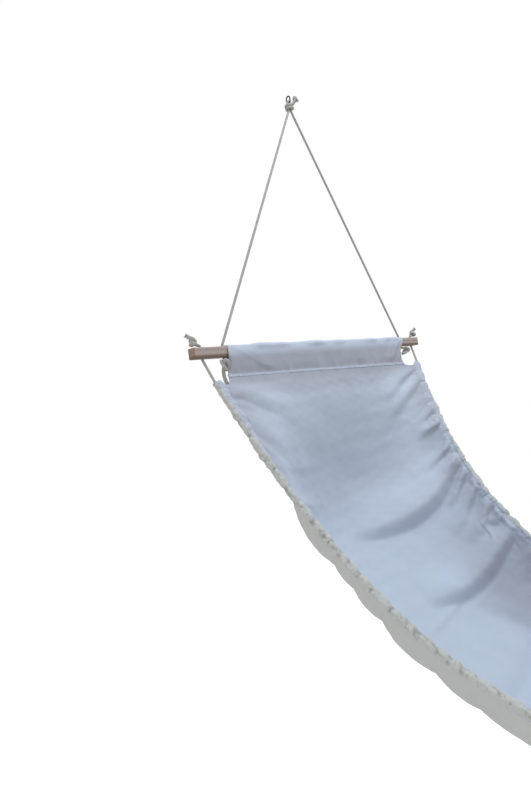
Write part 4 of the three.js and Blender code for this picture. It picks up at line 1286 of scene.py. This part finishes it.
class HAMMOCK_OT_add_bed(bpy.types.Operator):
    """Add the bed: one bellied panel of canvas with its folds, notches and gathered edges"""

    bl_idname = "hammock.add_bed"
    bl_label = "Bed"

    def execute(self, context):
        cloth = context.scene.hammock_cloth
        distance, across = self.places(cloth)
        arc = bed_arc(distance)[3]
        middle, under = bed_surface(distance, across)
        from_end = np.minimum(distance, BED_LENGTH - distance)
        place = np.where(distance < BED_LENGTH / 2, 1, -1) * across * arc
        below_seam = from_end - STITCH_LINE - seam_drop(place)
        relief = bed_relief(distance, across, cloth) * smoothstep(0.0, 0.04, below_seam)
        close = np.abs(below_seam) < 0.15
        relief[close] += seam_puckers(place[close], below_seam[close])
        middle = middle - under * relief[..., None]
        shape = Shape()
        # The mask given here paints shade on the cloth
        add_sheet(shape, middle[:, ::-1], cloth.thickness,
                  np.stack([distance, across * arc], -1)[:, ::-1],
                  self.painted_shade(from_end, below_seam, place, arc)[:, ::-1], under=1)
        # The upper face takes the painted sky light and the underside the painted light from the
        # ground
        bed = shape.piece("bed_cloth", finish("canvas_inside"), finish("canvas_outside"))
        ride_on(bed, "sling", "canvas", "canvas_bed")
        return {"FINISHED"}

    def painted_shade(self, from_end, below_seam, place, arc):
        """Painted shade that greys the cloth: along its hems, at the sleeves' seams and on its
        belly's walls.
        """
        side = place / arc
        low = smoothstep(0.5, 0.8, from_end)
        hem = 0.7 * (1 - smoothstep(0.0, 0.14, arc - np.abs(place)))
        seam = 0.95 * (1 - smoothstep(0.0, 0.09, below_seam))
        wall = low * np.where(place > 0, 0.75 * smoothstep(0.36, 0.64, side),
                              0.75 * smoothstep(0.3, 0.7, -side))
        return np.maximum(np.maximum(hem, seam), wall)

    def places(self, cloth):
        """Distance down the cloth and place across, for each point of the bed."""
        near_end = FIRST_ROW + (END_ROWS - FIRST_ROW) * np.linspace(0, 1, 24)[:-1]
        plain = np.linspace(END_ROWS, BED_LENGTH - END_ROWS,
                            int((BED_LENGTH - 2 * END_ROWS) / cloth.row_step))
        rows = np.concatenate([near_end, plain, (BED_LENGTH - near_end)[::-1]])
        wide = np.concatenate([np.linspace(0, HEM_COLUMNS, 46)[:-1],
                               np.linspace(HEM_COLUMNS, 1, 36)])
        columns = np.concatenate([-wide[:0:-1], wide])
        distance, across = np.meshgrid(rows, columns, indexing="ij")
        across = across * (1 - BESIDE_ROPE / bed_arc(distance)[3])
        from_end = np.minimum(distance, BED_LENGTH - distance)
        far = distance <= BED_LENGTH / 2
        place = np.where(far, 1, -1) * across * edge_half_width(CASING_START)
        shift = (bed_top(place) - FIRST_ROW) * (1 - smoothstep(FIRST_ROW, END_ROWS, from_end))
        from_end = from_end + shift
        return np.where(far, from_end, BED_LENGTH - from_end), across


class HAMMOCK_OT_add_casings(bpy.types.Operator):
    """Add the two gathered casings that the edge ropes run in"""

    bl_idname = "hammock.add_casings"
    bl_label = "Edge casings"

    def execute(self, context):
        cloth = context.scene.hammock_cloth
        for label, side in (("left", -1), ("right", 1)):
            casing = self.make_casing(label, side, cloth)
            ride_on(casing, "sling", "hem_canvas", f"edge_casing_{label}")
        return {"FINISHED"}

    def make_casing(self, label, side, cloth, rings=1100, sides=34, inner_every=6):
        """The gathered outer skin round one edge rope, and a plainer inner one on every few of
        its rings."""
        distance = CASING_START + np.linspace(0, EDGE_ROPE, rings)
        centre, away, inward = self.directions(distance, side)
        angle = angles_round(sides)
        radius, depth = self.radii(distance[:, None], angle[None], side, cloth)
        ring = ring_ways(inward, away, angle)
        outer = centre[:, None] + ring * radius[..., None]
        from_rope = radius * np.cos(angle)
        arc = bed_arc(distance)[3][:, None]
        across = side * (1 - np.maximum(from_rope, 0) / arc)
        below = np.broadcast_to(distance[:, None], across.shape)
        _, under = bed_surface(distance[:, None], np.array([[side * 1.0]]))
        relief = bed_relief(below, across, cloth)
        outer = outer - under * relief[..., None]
        # Painted sky light: the casing's upper side next to the bed takes the bluish hem colour,
        # and its painted crease shade mostly fades there
        above = (ring * under).sum(-1) < 0.01
        skin = above * smoothstep(-0.55, 0.45, np.cos(angle))
        depth = depth * (1 - 0.85 * skin)
        every = np.unique(np.append(np.arange(0, rings, inner_every), rings - 1))
        inner = (centre[:, None] + ring * CASING_BORE)[every]
        places = np.stack(np.broadcast_arrays(distance[:, None], (angle * CASING_USUAL)[None]), -1)
        count = rings * sides
        faces = grid_faces(rings, sides, closed=True)
        inside = grid_faces(len(every), sides, closed=True, first=count)[:, ::-1]
        last_out, last_in = count - sides, count + (len(every) - 1) * sides
        mouths = []
        for k in range(sides):
            n = (k + 1) % sides
            mouths.append([k, count + k, count + n, n])
            mouths.append([last_out + k, last_out + n, last_in + n, last_in + k])
        shape = Shape(around=2 * math.pi * CASING_USUAL)
        shape.add(np.concatenate([outer, inner]),
                  np.concatenate([faces, inside, np.array(mouths)]).tolist(),
                  np.concatenate([places, places[every]]).reshape(-1, 2), 0,
                  np.concatenate([skin, skin[every]]))
        casing = shape.piece(f"casing_{label}", finish("canvas_hem"))
        ends = np.zeros(2 * len(casing.data.edges), np.int32)
        casing.data.edges.foreach_get("vertices", ends)
        on_seam = ((ends < count) & (ends % sides == 0)).reshape(-1, 2).all(1)
        crease = casing.data.attributes.new("sharp_edge", "BOOLEAN", "EDGE")
        crease.data.foreach_set("value", on_seam)
        # How deep in a gather's crease each point lies, which the finish darkens as painted shade
        deep = casing.data.attributes.new("crease_depth", "FLOAT", "POINT")
        deep.data.foreach_set("value", np.concatenate([depth, depth[every]]).ravel())
        return casing

    def directions(self, distance, side):
        """Middle of the rope, and the ways square to it across the cloth and out of its plane."""
        centre = edge_points(distance, side)
        along = unit(np.gradient(centre, axis=0))
        edge, _ = bed_surface(distance[:, None], np.array([[side * 1.0]]))
        nearer, _ = bed_surface(distance[:, None], np.array([[side * 0.97]]))
        inward = nearer[:, 0] - edge[:, 0]
        inward = unit(inward - along * (inward * along).sum(-1, keepdims=True))
        return centre, np.cross(along, inward), inward

    def radii(self, distance, angle, side, cloth):
        """Radius of the casing, and how deep in a crease each place lies. The casing is puffed out
        between gathers, drawn in sharply at each, and flat where it is sewn to the bed."""
        pitch = cloth.gather_pitch
        wander = 0.006 * ripples(distance, 0 * distance, 80 + side, 0.04, 0.2)
        mouth = np.minimum(distance - CASING_START, BED_LENGTH - CASING_START - distance)
        full = cloth.casing_radius * (0.8 + 0.2 * smoothstep(0.02, 0.2, mouth))
        radius = full * (1 + 0.1 * ripples(distance, angle * 0.03, 60 + side, 0.03, 0.15))
        for size, draw, pinch in PINCHES:
            places, tight, chance = hem_gathers(side * draw, pitch * size)
            turn = 2 * math.pi * chance[0]
            index, share = between_gathers(
                distance - wander * np.sin(angle + turn) * (1.3 - size * 0.3), places)
            tightness = tight[index] * (1 - share) + tight[index + 1] * share
            puff = np.sin(np.pi * share) ** 0.6
            uneven = 1.0 if size == 1 else 0.5 + 0.5 * np.sin(angle * 1.5 + index * 2.4)
            radius = radius - pinch * tightness * (1 - puff) * uneven
            if size == 1:
                radius = radius + 0.0022 * (chance[index] - 0.4) * puff
        crease = angle - 3.4 - 0.9 * ripples(distance, 0 * distance, 64 + side, 0.03, 0.12)
        radius = radius - 0.0016 * np.exp(-(crease / 0.22) ** 2)
        radius += 0.0006 * ripples(distance, angle * 0.01, 61, 0.008, 0.02)
        depth = np.clip((full * 0.92 - radius) / 0.0035, 0, 1) ** 1.5
        radius = np.maximum(radius - 0.002 * np.exp(-(mouth / 0.004) ** 2), 0.0053)
        hem = HEM_DEPTH - 0.008 * np.exp(-(mouth / 0.01) ** 2)
        turned_off = np.arccos(np.minimum(radius / hem, 1))
        off = np.abs((angle + math.pi) % (2 * math.pi) - math.pi)
        return radius / np.cos(np.maximum(turned_off - off, 0)), depth


class HAMMOCK_OT_add_sleeves(bpy.types.Operator):
    """Add the sleeves that the bed's ends make round the bars"""

    bl_idname = "hammock.add_sleeves"
    bl_label = "Bar sleeves"

    def execute(self, context):
        cloth = context.scene.hammock_cloth
        for end, place, seed in (("far", np.asarray, 31), ("near", turned, 32)):
            sleeve = self.make_sleeve(end, place, seed, cloth)
            ride_on(sleeve, "sling", "canvas", f"bar_sleeve_{end}")
        return {"FINISHED"}

    def section(self):
        """The sleeve round the bar, from its sewn front edge over the bar to the seam behind, as
        places in front of the bar and above it, and the way down the cloth."""
        seam = np.array([-CLOTH_UP @ BAR_FRONT * STITCH_LINE,
                         -CLOTH_UP @ HANGER_UP * STITCH_LINE - HALF_BAR])
        way = np.array([-CLOTH_UP @ BAR_FRONT, -CLOTH_UP @ HANGER_UP])
        over = np.array([-way[1], way[0]])
        corner = HALF_BAR + SLEEVE_STAND - SLEEVE_CORNER
        points = [seam + way * SEAM_LIP + over * 0.75 * SLEEVE_STAND,
                  seam + way * SEAM_LIP / 2 + over * SLEEVE_STAND, seam + over * SLEEVE_STAND]
        for cx, cy, start in ((corner, corner, 0), (-corner, corner, 90), (-corner, -corner, 180)):
            for step in range(7):
                a = math.radians(start + step * 15)
                points.append(np.array([cx + SLEEVE_CORNER * math.cos(a),
                                        cy + SLEEVE_CORNER * math.sin(a)]))
        points += [seam - over * SLEEVE_STAND, seam + way * SEAM_LIP / 2 - over * SLEEVE_STAND]
        return np.array(points), way

    def make_sleeve(self, end, place, seed, cloth):
        outline, way = self.section()
        flat = np.concatenate([outline, np.zeros((len(outline), 1))], 1)
        outline = rounded_route(flat, step=0.002, soften=0.0012)[:, :2]
        along = lengths_along(outline)
        tangent = unit(np.gradient(outline, axis=0))
        normal = np.stack([tangent[:, 1], -tangent[:, 0]], -1)
        low, top = outline[:, 1].min(), outline[:, 1].max()
        hang = np.clip((top - outline[:, 1]) / (top - low), 0, 1)[:, None]
        width = np.linspace(-1, 1, SLEEVE_COLUMNS)
        narrowing = SLEEVE_NARROWING * smoothstep(0.05, 0.75, hang)
        behind = 0.016 * smoothstep(0.12, 0.15, along)[:, None] * (1 - hang ** 4)
        half = SLEEVE_HALF - behind + np.where(width > 0, -narrowing, 0.002 + 0.012 * hang ** 2)
        y = half * width
        a = np.broadcast_to(along[:, None], y.shape)
        stand = self.wrinkles(a, y, seed)
        from_side = half - np.abs(y)
        # Painted shade: the sleeve's front face takes the greyer sleeve colour
        facing = smoothstep(0.1, 0.45, hang) * smoothstep(0.1, 0.07, a) * smoothstep(0.003, 0.01, a)
        curl = 0.005 * (1 - smoothstep(0.0, 0.012, from_side)) * smoothstep(0.25, 0.5, hang) * (
            1 - smoothstep(0.8, 0.97, hang))
        stand = stand - curl
        tilt = seam_drop(y) * smoothstep(0.4, 1.0, hang)
        front = outline[:, :1] + normal[:, :1] * stand + way[0] * tilt
        up = outline[:, 1:] + normal[:, 1:] * stand + way[1] * tilt
        points = (BAR_CENTRE + front[..., None] * BAR_FRONT + y[..., None] * ALONG_BAR
                  + up[..., None] * HANGER_UP)
        thick = cloth.thickness * (1 + 0.9 * smoothstep(0.011, 0.0095, from_side))
        thick = thick * (0.45 + 0.55 * smoothstep(0.0, 0.003, a))
        shape = Shape()
        add_sheet(shape, place(points), thick, np.stack([y, a], -1), facing)
        return shape.piece(f"sleeve_{end}", finish("canvas_sleeve"))

    def wrinkles(self, a, y, seed):
        """How far the sleeve stands off the bar and the seam, by the way round it from its front
        edge and the place along the bar."""
        front = smoothstep(0.006, 0.03, a) * (1 - smoothstep(0.07, 0.09, a))
        top = smoothstep(0.07, 0.085, a) * (1 - smoothstep(0.11, 0.125, a))
        back = smoothstep(0.13, 0.15, a) * (1 - smoothstep(0.17, 0.19, a))
        sag = 0.5 + 0.5 * ripples(y, 0 * y, seed, 0.045, 0.2)
        drape = 0.5 + 0.5 * ripples(y, a * 0.5, seed + 1, 0.05, 0.2)
        inside = smoothstep(0.0, 0.03, SLEEVE_HALF - np.abs(y))
        stand = 0.0038 * top * np.maximum(sag, 0) * inside + 0.003 * front * np.maximum(drape, 0)
        stand = stand + 0.0025 * back * np.maximum(0.5 + sag * 0.5, 0)
        for start, slant, wide, height in WRINKLES:
            centre = start + (0.083 - a) * slant
            stand = stand + height * np.exp(-((y - centre) / wide) ** 2) * front
        return stand + seam_puckers(y, SEAM_LIP - a) * (1 - smoothstep(0.03, 0.06, a))


class HAMMOCK_OT_add_stitching(bpy.types.Operator):
    """Add the sewing thread along the sleeves and the casings"""

    bl_idname = "hammock.add_stitching"
    bl_label = "Stitching"

    def execute(self, context):
        cloth = context.scene.hammock_cloth
        shape = Shape()
        for side in (-1, 1):
            self.sew_hem(shape, side, cloth)
        for end in ("far", "near"):
            self.sew_sleeve(shape, bpy.data.objects[f"sleeve_{end}"].data)
        stitches = shape.piece("hem_stitches", finish("sewing_thread"))
        ride_on(stitches, "sling", "hem_canvas")
        return {"FINISHED"}

    def sew_hem(self, shape, side, cloth):
        """Stitches along a hem, a little inside its casing, on both faces of the cloth."""
        first = CASING_START + 0.004
        middle = np.arange(first, BED_LENGTH - first, STITCH_PITCH)
        distance = (middle[:, None] + STITCH_PLACES * STITCH_PITCH).reshape(-1, 1)
        across = side * (1 - (HEM_DEPTH - 0.0015) / bed_arc(distance)[3])
        points, under = bed_surface(distance, across)
        relief = bed_relief(distance, across, cloth)
        lift = np.tile(0.0002 + STITCH_RISE, len(middle))[:, None]
        for face in (-1, 1):
            line = points[:, 0] - under[:, 0] * relief + face * under[:, 0] * (
                cloth.thickness / 2 + lift)
            self.add_stitches(shape, line.reshape(len(middle), 5, 3), HEM_THREAD)

    def sew_sleeve(self, shape, sleeve):
        """Stitches through the sleeve, a little above its front edge."""
        points = np.zeros(len(sleeve.vertices) * 3)
        sleeve.vertices.foreach_get("co", points)
        one, two = points.reshape(2, -1, SLEEVE_COLUMNS, 3)[:, 2, 3:-3]
        along = lengths_along(one)
        middle = np.arange(0.004, along[-1] - 0.004, STITCH_PITCH)
        places = (middle[:, None] + STITCH_PLACES * STITCH_PITCH).ravel()
        lift = np.tile(0.0001 + STITCH_RISE, len(middle))[:, None]
        for face, away in ((one, unit(one - two)), (two, unit(two - one))):
            line = at_places(places, along, face) + at_places(places, along, away) * lift
            self.add_stitches(shape, line.reshape(len(middle), 5, 3), SLEEVE_THREAD)

    def add_stitches(self, shape, lines, radius):
        """Short rounded threads, each through five points."""
        sides = 6
        count, steps = lines.shape[:2]
        way = unit(np.gradient(lines, axis=1))
        first = unit(np.cross(way, [0.21, 0.37, 0.9]))
        ring = ring_ways(first, np.cross(way, first), angles_round(sides))
        girth = radius * STITCH_GIRTH[:, None, None]
        points = lines[:, :, None] + ring * girth
        size = steps * sides
        one = grid_faces(steps, sides, closed=True)
        faces = [face + k * size for k in range(count) for face in one]
        for k in range(count):
            faces.append(list(range(k * size + sides - 1, k * size - 1, -1)))
            faces.append(list(range((k + 1) * size - sides, (k + 1) * size)))
        shape.add(points, faces)


PIECES = (HAMMOCK_OT_add_stage, HAMMOCK_OT_add_ropes, HAMMOCK_OT_add_links, HAMMOCK_OT_add_bars,
          HAMMOCK_OT_add_casings, HAMMOCK_OT_add_bed, HAMMOCK_OT_add_sleeves,
          HAMMOCK_OT_add_stitching)


class HAMMOCK_PT_pieces(bpy.types.Panel):
    """Lists the hammock's pieces and their sizes and colours"""

    bl_idname = "HAMMOCK_PT_pieces"
    bl_label = "Hammock"
    bl_space_type = "VIEW_3D"
    bl_region_type = "UI"
    bl_category = "Hammock"

    def draw(self, context):
        layout = self.layout
        for piece in PIECES:
            layout.operator(piece.bl_idname)
        for name in GROUPS:
            box = layout.box()
            group = getattr(context.scene, name)
            for item in group.bl_rna.properties:
                if item.identifier not in ("rna_type", "name"):
                    box.prop(group, item.identifier)


GROUPS = {"hammock_colours": HammockColours, "hammock_cloth": HammockCloth,
          "hammock_ropes": HammockRopes, "hammock_stage": HammockStage}


def register():
    for group in (*GROUPS.values(), *PIECES, HAMMOCK_PT_pieces):
        bpy.utils.register_class(group)
    for name, group in GROUPS.items():
        setattr(bpy.types.Scene, name, bpy.props.PointerProperty(type=group))


def unregister():
    for name in GROUPS:
        delattr(bpy.types.Scene, name)
    for group in (HAMMOCK_PT_pieces, *PIECES[::-1], *GROUPS.values()):
        bpy.utils.unregister_class(group)


def main():
    register()
    for piece in PIECES:
        group, name = piece.bl_idname.split(".")
        getattr(getattr(bpy.ops, group), name)()


if __name__ == "__main__":
    main()
